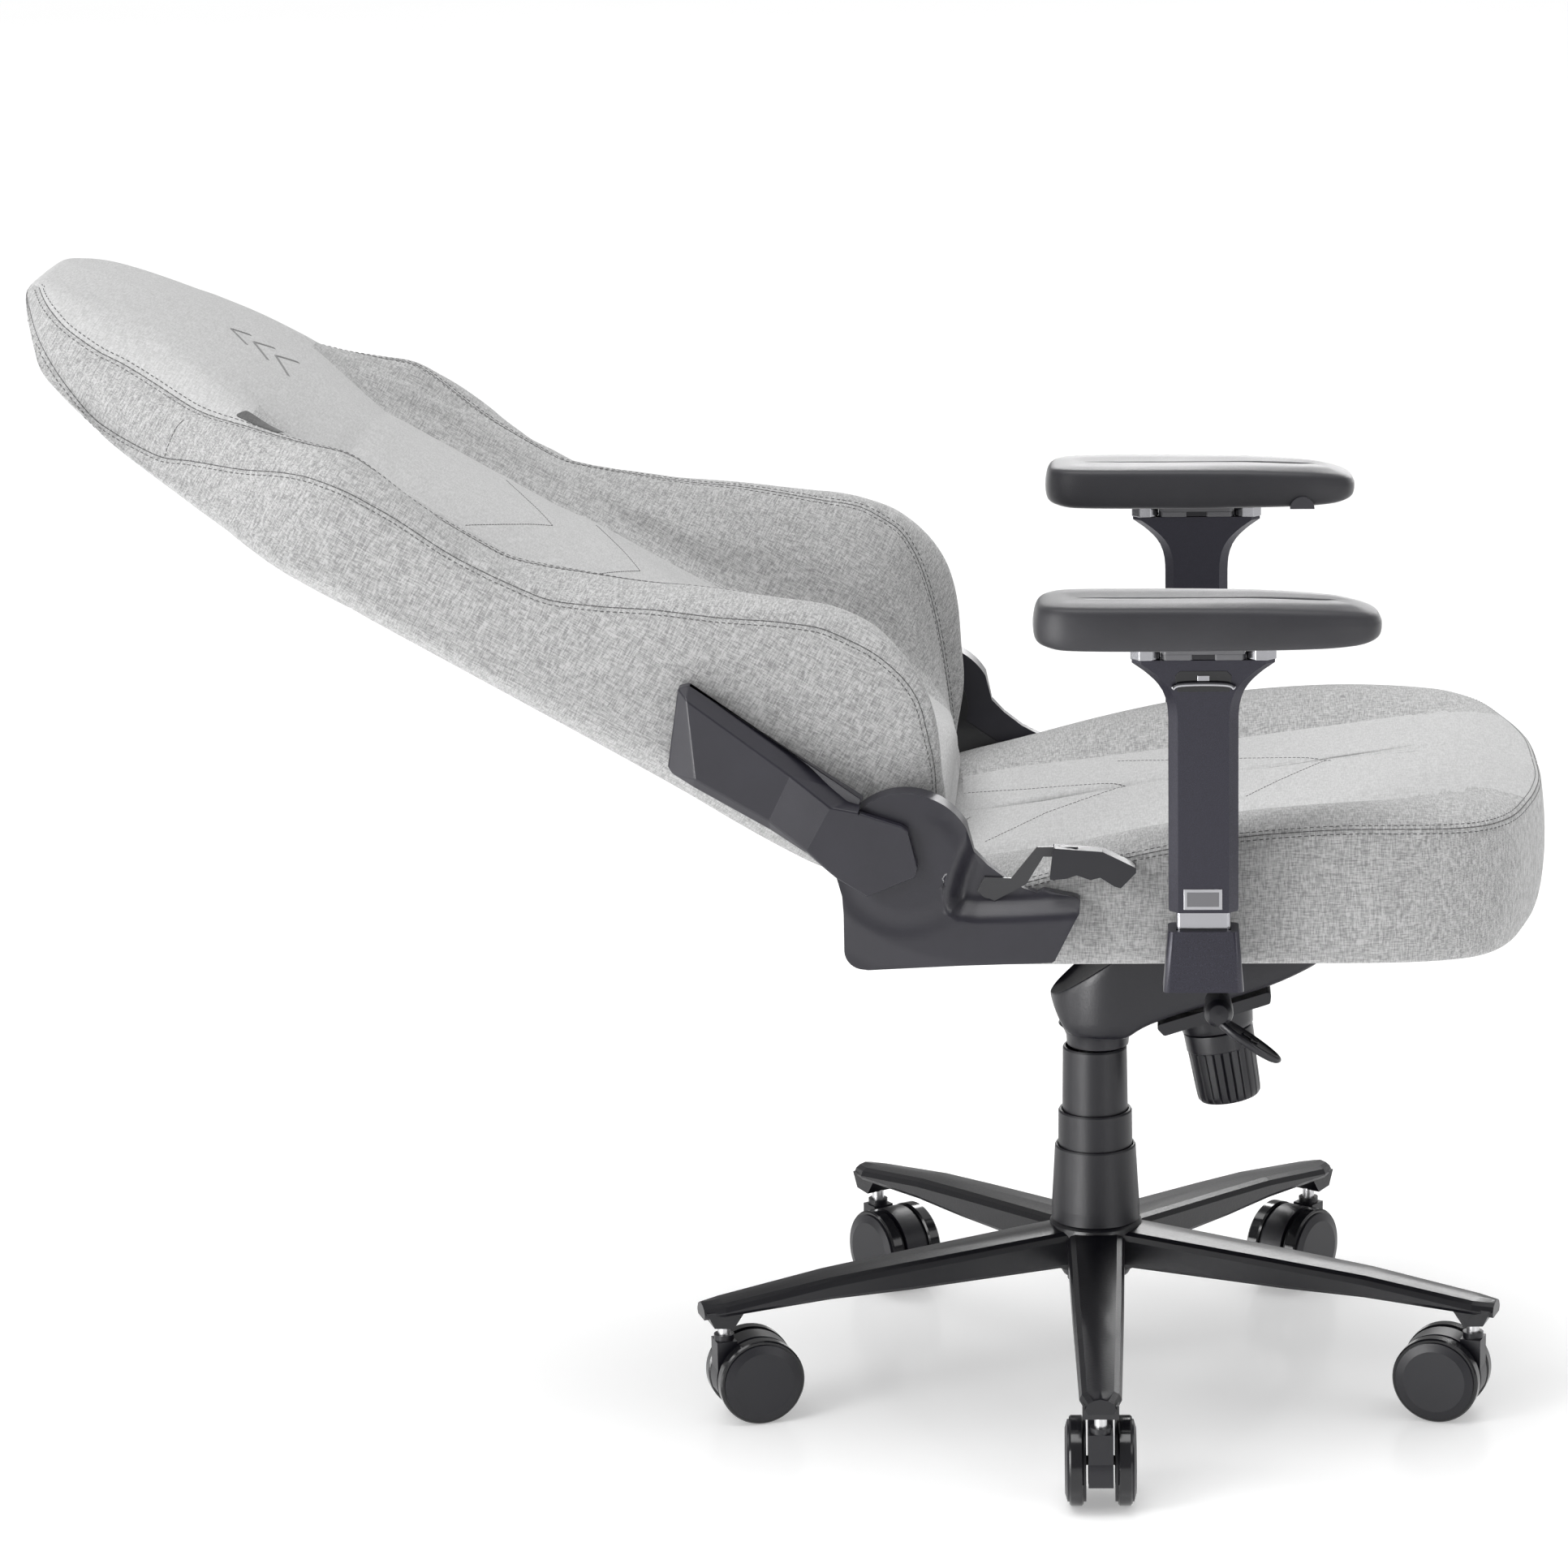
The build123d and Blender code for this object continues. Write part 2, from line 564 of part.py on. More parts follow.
def make_hinge_covers():
    """Plastic shells over the hinge: a scooped one on the seat, a long one on the backrest."""
    pivot_x, pivot_z = PIVOT
    foot = [(-206, 533), (-200, 515), (-200.3, 469), (-193.7, 457), (-181, 451.5), (-105, 456.5),
            (-31, 458.8), (-12.3, 494.7), (-7.9, 510.3), (-38.5, 516), (-40, 512.7), (-67, 523.6),
            (-83, 537), (-94, 547), (-105.5, 565)]
    with BuildPart() as seat_cover:
        with BuildSketch(side_plane(-SIDE_IN - 15)):
            with Locations(PIVOT):
                Circle(radius=57.5)
            with BuildLine():
                Polyline(*foot, close=True)
            make_face()
        extrude(amount=SEAT_COVER_OUT - SIDE_IN - 15)
        polygon_side(-SIDE_IN + 3, 21, [
            (-200, 500), (-200.3, 469), (-193.7, 457), (-181, 451.5), (-105, 456.5),
            (-31, 458.8), (-12.3, 494.7), (-40, 500)])
        polygon_side(-SIDE_IN + 8, 26, [(-190, 505), (-188, 455), (-108, 458), (-40, 466), (-28, 492), (-60, 505)],
                     mode=Mode.SUBTRACT)
        with BuildSketch(side_plane(-SIDE_IN - 5)):
            with Locations(PIVOT):
                Circle(radius=54)
        extrude(amount=SEAT_COVER_OUT - SIDE_IN - 8, mode=Mode.SUBTRACT)
        with Locations((-141, -SIDE_IN, 455)):
            Box(62.4, 16, 9, mode=Mode.SUBTRACT)
    save_pair(seat_cover, "seat_hinge_cover")
    with BuildPart() as back_cover:
        polygon_side(-SEAT_COVER_OUT - 0.8, BACK_COVER_OUT - SEAT_COVER_OUT - 0.8, arm_outline())
        polygon_side(-SIDE_IN, BACK_COVER_OUT - SIDE_IN - 4, arm_outline())
        with BuildSketch(side_plane(-SIDE_IN + 5)):
            with Locations(PIVOT):
                Circle(radius=62)
        extrude(amount=SEAT_COVER_OUT - SIDE_IN + 5.8, mode=Mode.SUBTRACT)
        pocket = [along_back(52, -26.5), along_back(52, 20), along_back(203, 20),
                  along_back(203, -24.5)]
        polygon_side(-SIDE_IN + 5, 26, pocket, mode=Mode.SUBTRACT)
    save_pair(back_cover, "back_hinge_cover")


# ---- backrest -----------------------------------------------------------------------------------
def make_back_frame():
    """Tubular frame with outward studs, and the hinge arms bolted to it."""
    with BuildPart() as frame:
        for side in (-1, 1):
            with BuildSketch(back_plane(15)):
                with Locations((side * 205, -18)):
                    RectangleRounded(22, 22, 4)
            extrude(amount=-585)
            with BuildSketch(back_plane(600)):
                with Locations((side * 205, -18)):
                    RectangleRounded(22, 22, 4)
            with BuildSketch(back_plane(790)):
                with Locations((side * 120, -14)):
                    RectangleRounded(22, 22, 4)
            loft()
        for height, half in ((40, 204), (330, 204), (590, 204), (778, 124)):
            with BuildSketch(back_plane(height)):
                with Locations((0, -18)):
                    Rectangle(2 * half, 14)
            extrude(amount=-22)
        for height in (95, 185):
            x, z = along_back(height, -12)
            with Locations(Location((x, 0, z), (90, 0, 0))):
                Cylinder(radius=6, height=2 * SIDE_IN + 14)
    with BuildPart() as arms:
        with BuildSketch(side_plane(-SIDE_IN - 7)):
            with Locations(PIVOT):
                Circle(radius=32)
            with BuildLine():
                Polyline(along_back(0, -28), along_back(0, 28), along_back(60, 16),
                         along_back(200, 16), along_back(200, -24), along_back(60, -24), close=True)
            make_face()
        extrude(amount=6)
        with Locations(Location((PIVOT[0], -SIDE_IN - 10, PIVOT[1]), (90, 0, 0))):
            Cylinder(radius=8 + STEM_FIT, height=30, mode=Mode.SUBTRACT)
        for height in (95, 185):
            x, z = along_back(height, -12)
            with Locations(Location((x, -SIDE_IN - 10, z), (90, 0, 0))):
                Cylinder(radius=6, height=30, mode=Mode.SUBTRACT)
    both_sides(arms, "back_hinge_arms")
    save(frame, "back_frame")
    return frame


def back_section(s, rear, side, crest, wing, front):
    """Half-outline of the cushion at height s, mirrored.

    rear: normal position of the rear face; side: half width; crest: (y, n) of the wing's top;
    wing: n of the outer seam; front: (y, n) where the centre panel starts, and n at the middle.
    """
    half = [(0, rear), (side * 0.86, rear), (side * 0.97, rear + 14), (side, wing),
            (crest[0] + 10, crest[1] - 8), (crest[0] - 8, crest[1]),
            ((crest[0] + front[0]) / 2, (crest[1] + front[1]) / 2),
            (front[0], front[1]), (0, front[2])]
    other = [(-y, n) for y, n in reversed(half[1:-1])]
    with BuildSketch(back_plane(s)) as section:
        with BuildLine():
            Polyline(*half, *other, close=True)
        make_face()
    return section


def make_back_cushion(frame):
    """Foam body: centre panel with the head, and a bolster along each side."""
    stations = [
        (-22, -20, 236, (222, 8), 0, (150, 4, 12)),
        (8, -42, 260, (238, 58), 34, (150, 26, 42)),
        (45, -52, SEAT_HALF, (240, 108), 92, (150, 28, 44)),
        (85, -53, SEAT_HALF, (240, 135), 112, (150, 27, 42)),
        (125, -53, SEAT_HALF, (240, 141), 122, (150, 25, 40)),
        (180, -53, SEAT_HALF, (238, 128), 110, (150, 23, 38)),
        (260, -52, SEAT_HALF, (234, 90), 76, (150, 22, 36)),
        (350, -52, SEAT_HALF, (234, 49), 38, (150, 22, 35)),
        (410, -51, SEAT_HALF, (232, 37), 28, (152, 20, 34)),
        (480, -51, SEAT_HALF, (232, 48), 33, (154, 20, 34)),
        (550, -50, 262, (228, 57), 34, (156, 20, 36)),
        (605, -49, 247, (214, 46), 16, (158, 28, 42)),
        (670, -46, 214, (190, 34), -10, (150, 40, 48)),
        (760, -38, 176, (152, 28), -8, (110, 42, 50)),
        (825, -22, 138, (118, 28), 0, (80, 38, 44)),
        (858, -6, 92, (76, 22), 12, (50, 26, 28)),
    ]
    with BuildPart() as cushion:
        for s, rear, side, crest, wing, front in stations:
            add(back_section(s, rear, side, crest, wing, front).sketch)
        loft(ruled=True)
        add(frame.part, mode=Mode.SUBTRACT)
    for side, name in ((-1, "back_bolster_right"), (1, "back_bolster_left")):
        with BuildPart() as bolster:
            add(cushion.part)
            with Locations((-450, side * (BOLSTER_IN + 150), 700)):
                Box(1200, 300, 1200, mode=Mode.INTERSECT)
        save(bolster, name)
    with BuildPart() as middle:
        add(cushion.part)
        with Locations((-450, 0, 700)):
            Box(1200, 2 * BOLSTER_IN, 1200, mode=Mode.INTERSECT)
    save(middle, "back_cushion")


# ---- recline lever ------------------------------------------------------------------------------
def make_recline_lever():
    """Cranked steel strap on the recliner's release shaft, with a finger grip on its end."""
    with BuildPart() as strap:
        with BuildSketch(side_plane(-SIDE_IN - 11.5)):
            with BuildLine():
                Polyline((-92, 516), (-78, 508), (-52, 522), (-38, 545), (-10, 545), (-10, 553),
                         (-43, 553), (-64, 527), (-86, 528), close=True)
            make_face()
            with Locations((-82, 518)):
                Circle(radius=8)
        extrude(amount=3)
        with Locations(Location((-82, -SIDE_IN - 9, 518), (90, 0, 0))):
            Cylinder(radius=5, height=8)
    save(strap, "recline_lever")
    with BuildPart() as grip:
        with BuildSketch(side_plane(-SIDE_IN - 5)):
            with BuildLine():
                Polyline((-33, 527), (-30, 553.5), (10, 550.5), (37, 537), (37, 533), (24.5, 520),
                         (19.5, 521.5), (8, 529), (0, 527), (-11, 531), (-20, 528), close=True)
            make_face()
        extrude(amount=16)
        fillet(grip.edges().filter_by(Axis.Y), radius=1.2)
        with BuildSketch(side_plane(-SIDE_IN - 11.3)):
            with BuildLine():
                Polyline((-50, 544.8), (-9.8, 544.8), (-9.8, 553.2), (-50, 553.2), close=True)
            make_face()
        extrude(amount=3.4, mode=Mode.SUBTRACT)
    save(grip, "recline_grip")


make_base()
make_casters()
make_lift()
make_covers()
make_housing()
make_knob()
make_lever()
make_seat_plate()
make_seat()
make_armrest_mounts()
make_sleeve()
make_armrest_plates()
make_pad()
make_hinges()
make_hinge_covers()
back_frame_part = make_back_frame()
make_back_cushion(back_frame_part)
make_recline_lever()
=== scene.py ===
import json
import math

import bmesh
import bpy
from mathutils import Matrix, Vector
from mathutils.bvhtree import BVHTree
from mathutils.geometry import delaunay_2d_cdt


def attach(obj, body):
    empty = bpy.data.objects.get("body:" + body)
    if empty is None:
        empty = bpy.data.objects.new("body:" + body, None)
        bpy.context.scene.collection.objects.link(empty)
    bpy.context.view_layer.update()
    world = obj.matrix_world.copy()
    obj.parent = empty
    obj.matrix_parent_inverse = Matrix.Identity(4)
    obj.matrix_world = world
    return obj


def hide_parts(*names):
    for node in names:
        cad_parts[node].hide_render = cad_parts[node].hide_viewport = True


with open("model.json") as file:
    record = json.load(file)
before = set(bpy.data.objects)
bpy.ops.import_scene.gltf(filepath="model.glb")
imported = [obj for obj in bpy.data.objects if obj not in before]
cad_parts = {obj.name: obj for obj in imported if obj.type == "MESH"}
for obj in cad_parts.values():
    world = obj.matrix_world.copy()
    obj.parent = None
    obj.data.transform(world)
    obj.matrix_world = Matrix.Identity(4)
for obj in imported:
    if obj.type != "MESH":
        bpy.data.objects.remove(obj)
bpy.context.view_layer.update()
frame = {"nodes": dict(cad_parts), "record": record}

# ---- camera, light and floor ---------------------------------------------------------------------
CAMERA_AT = Vector((0.0458, -4.6957, 1.6774))
CAMERA_YAW = math.radians(3.80)
CAMERA_PITCH = math.radians(13.62)
CAMERA_ROLL = math.radians(-1.07)
CAMERA_LENS = 129.07


def aimed_camera():
    """Long lens from the sitter's right, a little above the armrests."""
    lens = bpy.data.cameras.new("camera")
    lens.lens = CAMERA_LENS
    lens.sensor_width = 36
    lens.clip_end = 50
    camera = bpy.data.objects.new("camera", lens)
    bpy.context.scene.collection.objects.link(camera)
    level = Matrix.Rotation(CAMERA_YAW, 4, "Z") @ Matrix.Rotation(math.pi / 2 - CAMERA_PITCH, 4, "X")
    camera.matrix_world = Matrix.Translation(CAMERA_AT) @ level @ Matrix.Rotation(CAMERA_ROLL, 4, "Z")
    bpy.context.scene.camera = camera


def soft_sun(name, direction, strength, spread):
    """Wide, even studio light shining along direction."""
    light = bpy.data.lights.new(name, "SUN")
    light.energy = strength
    light.angle = math.radians(spread)
    lamp = bpy.data.objects.new(name, light)
    bpy.context.scene.collection.objects.link(lamp)
    lamp.rotation_euler = Vector(direction).to_track_quat("-Z", "Y").to_euler()


def strip_light(name, at, aim, size, watts, lights_cloth=True):
    """Rectangular softbox; with lights_cloth off it only shows as a highlight on glossy parts."""
    light = bpy.data.lights.new(name, "AREA")
    light.shape = "RECTANGLE"
    light.size, light.size_y = size
    light.energy = watts
    lamp = bpy.data.objects.new(name, light)
    bpy.context.scene.collection.objects.link(lamp)
    lamp.location = at
    lamp.rotation_euler = (Vector(aim) - Vector(at)).to_track_quat("-Z", "Y").to_euler()
    lamp.visible_diffuse = lights_cloth
    lamp.visible_camera = False


def studio():
    """White sweep floor, dim surround, two wide lights and a strip on each side."""
    world = bpy.data.worlds.new("studio")
    bpy.context.scene.world = world
    world.use_nodes = True
    tree = world.node_tree
    surround = tree.nodes["Background"]
    backdrop = tree.nodes.new("ShaderNodeBackground")
    for node, strength in ((surround, 0.30), (backdrop, 1.0)):
        node.inputs["Color"].default_value = (1, 1, 1, 1)
        node.inputs["Strength"].default_value = strength
    seen = tree.nodes.new("ShaderNodeLightPath")
    either = tree.nodes.new("ShaderNodeMixShader")
    tree.links.new(seen.outputs["Is Camera Ray"], either.inputs[0])
    tree.links.new(surround.outputs[0], either.inputs[1])
    tree.links.new(backdrop.outputs[0], either.inputs[2])
    tree.links.new(either.outputs[0], tree.nodes["World Output"].inputs["Surface"])
    soft_sun("key", (0.25, 0.05, -1.0), 2.05, 50)
    soft_sun("fill", (-0.35, -0.12, -0.9), 0.75, 70)
    strip_light("softbox_left", (-1.9, -1.7, 1.5), (-0.5, -0.2, 0.7), (1.0, 1.2), 22)
    strip_light("gloss_left", (-2.3, -2.5, 0.35), (-0.4, -0.3, 0.6), (1.3, 1.2), 80, False)
    strip_light("gloss_far_left", (-3.2, -1.0, 0.4), (-0.3, -0.3, 0.6), (0.8, 1.4), 26, False)
    strip_light("gloss_right", (2.2, -2.4, 1.0), (0.15, -0.3, 0.5), (0.35, 1.6), 16, False)
    strip_light("softbox_right", (2.3, -0.5, 1.1), (0.38, 0, 0.55), (0.8, 1.0), 4)
    strip_light("gloss_behind", (0.35, 1.4, 1.0), (0.2, -0.3, 0.76), (1.1, 0.3), 13, False)
    mesh = bpy.data.meshes.new("floor")
    mesh.from_pydata([(-40, -40, -0.0005), (40, -40, -0.0005), (40, 40, -0.0005), (-40, 40, -0.0005)], [],
                     [(0, 1, 2, 3)])
    floor = bpy.data.objects.new("floor", mesh)
    bpy.context.scene.collection.objects.link(floor)
    mesh.materials.append(FLOOR)
    bpy.context.scene.view_settings.view_transform = "Standard"


# ---- materials -----------------------------------------------------------------------------------
class Wire:
    """One output of a material's node, used like a number."""

    def __init__(self, finish, socket):
        self.finish = finish
        self.socket = socket

    def maths(self, operation, first, second):
        return self.finish.add("ShaderNodeMath", {"operation": operation}, {0: first, 1: second})

    def __add__(self, other):
        return self.maths("ADD", self, other)

    def __sub__(self, other):
        return self.maths("SUBTRACT", self, other)

    def __rsub__(self, other):
        return self.maths("SUBTRACT", other, self)

    def __mul__(self, other):
        return self.maths("MULTIPLY", self, other)

    __radd__ = __add__
    __rmul__ = __mul__


class Finish:
    """A material under construction, with its Principled shader ready."""

    def __init__(self, name, **shader):
        self.material = bpy.data.materials.new(name)
        self.material.use_nodes = True
        self.tree = self.material.node_tree
        self.shader = self.tree.nodes["Principled BSDF"]
        for socket, value in shader.items():
            self.shader.inputs[socket.replace("_", " ")].default_value = value

    def add(self, kind, settings=None, inputs=None, output=0):
        """Make a node, set it up, feed its inputs and give back one output."""
        node = self.tree.nodes.new(kind)
        for key, value in (settings or {}).items():
            if key == "stops":
                ramp = node.color_ramp
                while len(ramp.elements) < len(value):
                    ramp.elements.new(0.5)
                for element, (position, colour) in zip(ramp.elements, value):
                    element.position = position
                    element.color = (*colour, 1)
            else:
                setattr(node, key, value)
        for key, value in (inputs or {}).items():
            if isinstance(value, Wire):
                self.tree.links.new(value.socket, node.inputs[key])
            else:
                node.inputs[key].default_value = value
        return Wire(self, node.outputs[output])

    def feed(self, socket, wire):
        self.tree.links.new(wire.socket, self.shader.inputs[socket])

    def place(self):
        """Position in the row frame at rest, in metres."""
        return self.add("ShaderNodeTexCoord", output="Object")

    def stretched(self, vector, scale, turn=(0, 0, 0)):
        """Coordinates turned, then scaled by axis."""
        turned = self.add("ShaderNodeMapping", {"vector_type": "POINT"}, {0: vector, "Rotation": turn})
        return self.add("ShaderNodeVectorMath", {"operation": "MULTIPLY"}, {0: turned, 1: scale})

    def noise(self, vector, scale, detail=2.0, roughness=0.5):
        return self.add("ShaderNodeTexNoise", {}, {"Vector": vector, "Scale": scale, "Detail": detail,
                                                   "Roughness": roughness})

    def ramp(self, factor, stops):
        return self.add("ShaderNodeValToRGB", {"stops": stops}, {0: factor})

    def bump(self, height, strength, distance):
        """Raise the surface by height; distance is in metres."""
        bumped = self.add("ShaderNodeBump", {}, {"Height": height, "Strength": strength,
                                                 "Distance": distance})
        self.feed("Normal", bumped)


def grey(value, warm=0.0):
    """Linear grey, a little warmer or, below zero, cooler."""
    return (value * (1 + warm), value, value * (1 - warm))


def sweep_floor(name):
    """White lacquered sweep, barely glossy."""
    floor = Finish(name, Roughness=0.15, Emission_Strength=0.34)
    floor.shader.inputs["Emission Color"].default_value = (1, 1, 1, 1)
    cloud = floor.noise(floor.place(), 1.2, 2.0)
    floor.feed("Base Color", floor.ramp(cloud, [(0.3, grey(0.90)), (0.7, grey(0.92))]))
    return floor.material


def woven_cloth(name, light, dark, turn):
    """Heathered plain weave: dyed and undyed threads both ways, with soft mottling."""
    cloth = Finish(name, Roughness=0.92, Sheen_Weight=0.25, Sheen_Roughness=0.5)
    cloth.shader.inputs["Specular IOR Level"].default_value = 0.2
    place = cloth.place()
    warp = cloth.noise(cloth.stretched(place, (130, 980, 980), turn), 1.0, 1.5, 0.6)
    weft = cloth.noise(cloth.stretched(place, (980, 140, 140), turn), 1.0, 1.5, 0.6)
    mottle = cloth.noise(cloth.stretched(place, (260, 380, 380), turn), 1.0, 2.0, 0.6)
    blotch = cloth.noise(place, 14.0, 2.0, 0.5)
    heather = warp * 0.44 + weft * 0.44 + mottle * 0.10 + blotch * 0.02
    colour = cloth.ramp(heather, [(0.38, grey(dark)), (0.5, grey((light + dark) / 2)),
                                  (0.60, grey(light))])
    cloth.feed("Base Color", colour)
    threads = cloth.noise(cloth.stretched(place, (900, 1500, 1500), turn), 1.0, 1.0, 0.5)
    cloth.bump(warp * 0.5 + weft * 0.5 + threads * 0.4, 0.5, 0.0006)
    return cloth.material


def moulded_plastic(name, tone, roughness, grain=1.0):
    """Satin moulding: fine spark-eroded grain, faint cloudiness in the gloss."""
    plastic = Finish(name, Roughness=roughness)
    place = plastic.place()
    cloud = plastic.noise(place, 22.0, 3.0)
    speck = plastic.noise(place, 1400.0, 2.0, 0.7)
    plastic.feed("Base Color", plastic.ramp(cloud, [(0.3, (tone[0] * 0.9, tone[1] * 0.9, tone[2] * 0.9)),
                                                    (0.7, (tone[0] * 1.1, tone[1] * 1.1, tone[2] * 1.12))]))
    plastic.feed("Roughness", cloud * 0.10 + speck * 0.06 + (roughness - 0.08))
    plastic.bump(speck, 0.25 * grain, 0.0003)
    return plastic.material


def powder_coat(name, tone, roughness, fleck=0.0):
    """Baked coating with orange peel; fleck adds metallic flakes."""
    coat = Finish(name, Roughness=roughness, Metallic=0.25 if fleck else 0.0)
    place = coat.place()
    peel = coat.noise(place, 420.0, 2.0, 0.5)
    flake = coat.noise(place, 2600.0, 1.0, 0.5)
    bright = tuple(min(1.0, c * (1 + 2.4 * fleck)) for c in tone)
    coat.feed("Base Color", coat.ramp(flake, [(0.45, tone), (0.72, bright)]))
    coat.feed("Roughness", peel * 0.14 + (roughness - 0.07))
    coat.bump(peel, 0.18, 0.0004)
    return coat.material


def polished_metal(name, tone, roughness):
    """Plated or turned metal with fine hairlines."""
    metal = Finish(name, Metallic=1.0, Roughness=roughness)
    place = metal.place()
    hairline = metal.noise(metal.stretched(place, (40, 40, 1600)), 1.0, 2.0, 0.6)
    smear = metal.noise(place, 30.0, 2.0)
    metal.feed("Base Color", metal.ramp(smear, [(0.3, tuple(0.93 * c for c in tone)), (0.7, tone)]))
    metal.feed("Roughness", hairline * 0.08 + smear * 0.06 + (roughness - 0.05))
    metal.bump(hairline, 0.05, 0.0002)
    return metal.material


def plywood(name):
    """Veneer face with stretched grain."""
    wood = Finish(name, Roughness=0.6)
    place = wood.place()
    grain = wood.noise(wood.stretched(place, (6, 160, 160)), 1.0, 4.0, 0.6)
    wood.feed("Base Color", wood.ramp(grain, [(0.35, (0.30, 0.19, 0.10)), (0.65, (0.50, 0.36, 0.21))]))
    wood.bump(grain, 0.2, 0.0003)
    return wood.material


def pad_skin(name):
    """Self-skinned foam: soft matt black with a leather-like micro grain."""
    skin = Finish(name, Roughness=0.5, Sheen_Weight=0.5, Sheen_Roughness=0.35)
    skin.shader.inputs["Specular IOR Level"].default_value = 0.45
    place = skin.place()
    cells = skin.add("ShaderNodeTexVoronoi", {"feature": "DISTANCE_TO_EDGE"},
                     {"Vector": place, "Scale": 900.0})
    cloud = skin.noise(place, 18.0, 2.0)
    skin.feed("Base Color", skin.ramp(cloud, [(0.3, (0.020, 0.0195, 0.024)),
                                              (0.7, (0.026, 0.0255, 0.031))]))
    skin.feed("Roughness", cloud * 0.10 + 0.45)
    skin.bump(cells, 0.3, 0.0004)
    return skin.material


def thread(name, tone):
    """Twisted sewing thread."""
    yarn = Finish(name, Roughness=0.75)
    twist = yarn.noise(yarn.place(), 2200.0, 1.0)
    yarn.feed("Base Color", yarn.ramp(twist, [(0.35, grey(tone * 0.8)), (0.65, grey(tone * 1.2))]))
    yarn.bump(twist, 0.4, 0.0002)
    return yarn.material


RECLINE = math.radians(29.6)
LEVEL_TURN = (0, 0, 0)
BACK_TURN = (0, -RECLINE, 0)

SEAT_CLOTH = woven_cloth("seat_weave", 0.55, 0.26, LEVEL_TURN)
BACK_CLOTH = woven_cloth("back_weave", 0.55, 0.26, BACK_TURN)
SEAT_PANEL = woven_cloth("seat_panel_weave", 0.57, 0.42, LEVEL_TURN)
BACK_PANEL = woven_cloth("back_panel_weave", 0.57, 0.42, BACK_TURN)
FLOOR = sweep_floor("white_sweep")
DUST_CLOTH = woven_cloth("dust_cloth", 0.03, 0.015, LEVEL_TURN)
LABEL = woven_cloth("label_weave", 0.13, 0.08, BACK_TURN)
THREAD = thread("grey_thread", 0.10)
PALE_THREAD = thread("pale_thread", 0.26)
PLATE_METAL = polished_metal("brushed_plate", (0.42, 0.42, 0.44), 0.28)
FINISHES = {
    "base_metal": powder_coat("satin_black_coat", (0.0035, 0.0033, 0.0062), 0.33),
    "stem_steel": polished_metal("turned_steel", (0.60, 0.60, 0.61), 0.3),
    "column_plastic": moulded_plastic("column_moulding", (0.0055, 0.0052, 0.0095), 0.42),
    "tube_metal": powder_coat("tube_paint", (0.02, 0.02, 0.02), 0.4),
    "bush_plastic": moulded_plastic("bush_acetal", (0.55, 0.55, 0.53), 0.4),
    "caster_plastic": moulded_plastic("caster_moulding", (0.0065, 0.0062, 0.0105), 0.38),
    "tread_plastic": moulded_plastic("gloss_tread", (0.010, 0.010, 0.012), 0.14, 0.1),
    "mechanism_metal": powder_coat("housing_coat", (0.0075, 0.0071, 0.0125), 0.38),
    "control_plastic": moulded_plastic("control_moulding", (0.0065, 0.0062, 0.0105), 0.33),
    "strap_steel": powder_coat("strap_coat", (0.03, 0.03, 0.033), 0.35),
    "pan_wood": plywood("plywood"),
    "frame_metal": powder_coat("frame_paint", (0.02, 0.02, 0.022), 0.45),
    "hinge_plastic": moulded_plastic("hinge_moulding", (0.019, 0.018, 0.026), 0.33),
    "post_chrome": polished_metal("chrome_plate", (0.36, 0.36, 0.38), 0.14),
    "sleeve_metal": powder_coat("charcoal_fleck_coat", (0.016, 0.0152, 0.024), 0.34, 0.8),
    "carriage_metal": powder_coat("slide_coat", (0.16, 0.16, 0.17), 0.38),
    "pad_skin": pad_skin("grained_skin"),
    "button_plastic": moulded_plastic("grey_button", (0.045, 0.044, 0.052), 0.4),
    "seat_fabric": SEAT_CLOTH,
    "back_fabric": BACK_CLOTH,
}


def dress_nodes():
    """Give every CAD node its slot's finish."""
    slots = {entry["node"]: entry["material_slot"] for entry in frame["record"]["subparts"]}
    for name, node in frame["nodes"].items():
        node.data.materials.clear()
        node.data.materials.append(FINISHES[slots[name]])


# ---- mesh helpers --------------------------------------------------------------------------------
def through(points):
    """Function giving the smooth curve through (t, value) points, without overshoot between them."""
    ts = [p[0] for p in points]
    vs = [p[1] for p in points]
    slopes = [(v1 - v0) / (t1 - t0) for t0, t1, v0, v1 in zip(ts, ts[1:], vs, vs[1:])]
    bends = [slopes[0]]
    for before, after in zip(slopes, slopes[1:]):
        bends.append(0.0 if before * after <= 0 else 2 * before * after / (before + after))
    bends.append(slopes[-1])

    def value(t):
        t = min(max(t, ts[0]), ts[-1])
        i = max(k for k in range(len(ts) - 1) if ts[k] <= t)
        span = ts[i + 1] - ts[i]
        u = (t - ts[i]) / span
        return ((2 * u ** 3 - 3 * u ** 2 + 1) * vs[i] + (u ** 3 - 2 * u ** 2 + u) * span * bends[i]
                + (3 * u ** 2 - 2 * u ** 3) * vs[i + 1] + (u ** 3 - u ** 2) * span * bends[i + 1])

    return value


def smooth_run(points, steps):
    """Catmull-Rom points through a list of tuples; steps gives the divisions of each stretch."""
    ends = [points[0], *points, points[-1]]
    run = []
    for i, count in enumerate(steps):
        a, b, c, d = (Vector(p) for p in ends[i:i + 4])
        for k in range(count):
            t = k / count
            run.append(0.5 * ((2 * b) + (c - a) * t + (2 * a - 5 * b + 4 * c - d) * t ** 2
                              + (3 * b - a - 3 * c + d) * t ** 3))
    run.append(Vector(points[-1]))
    return run


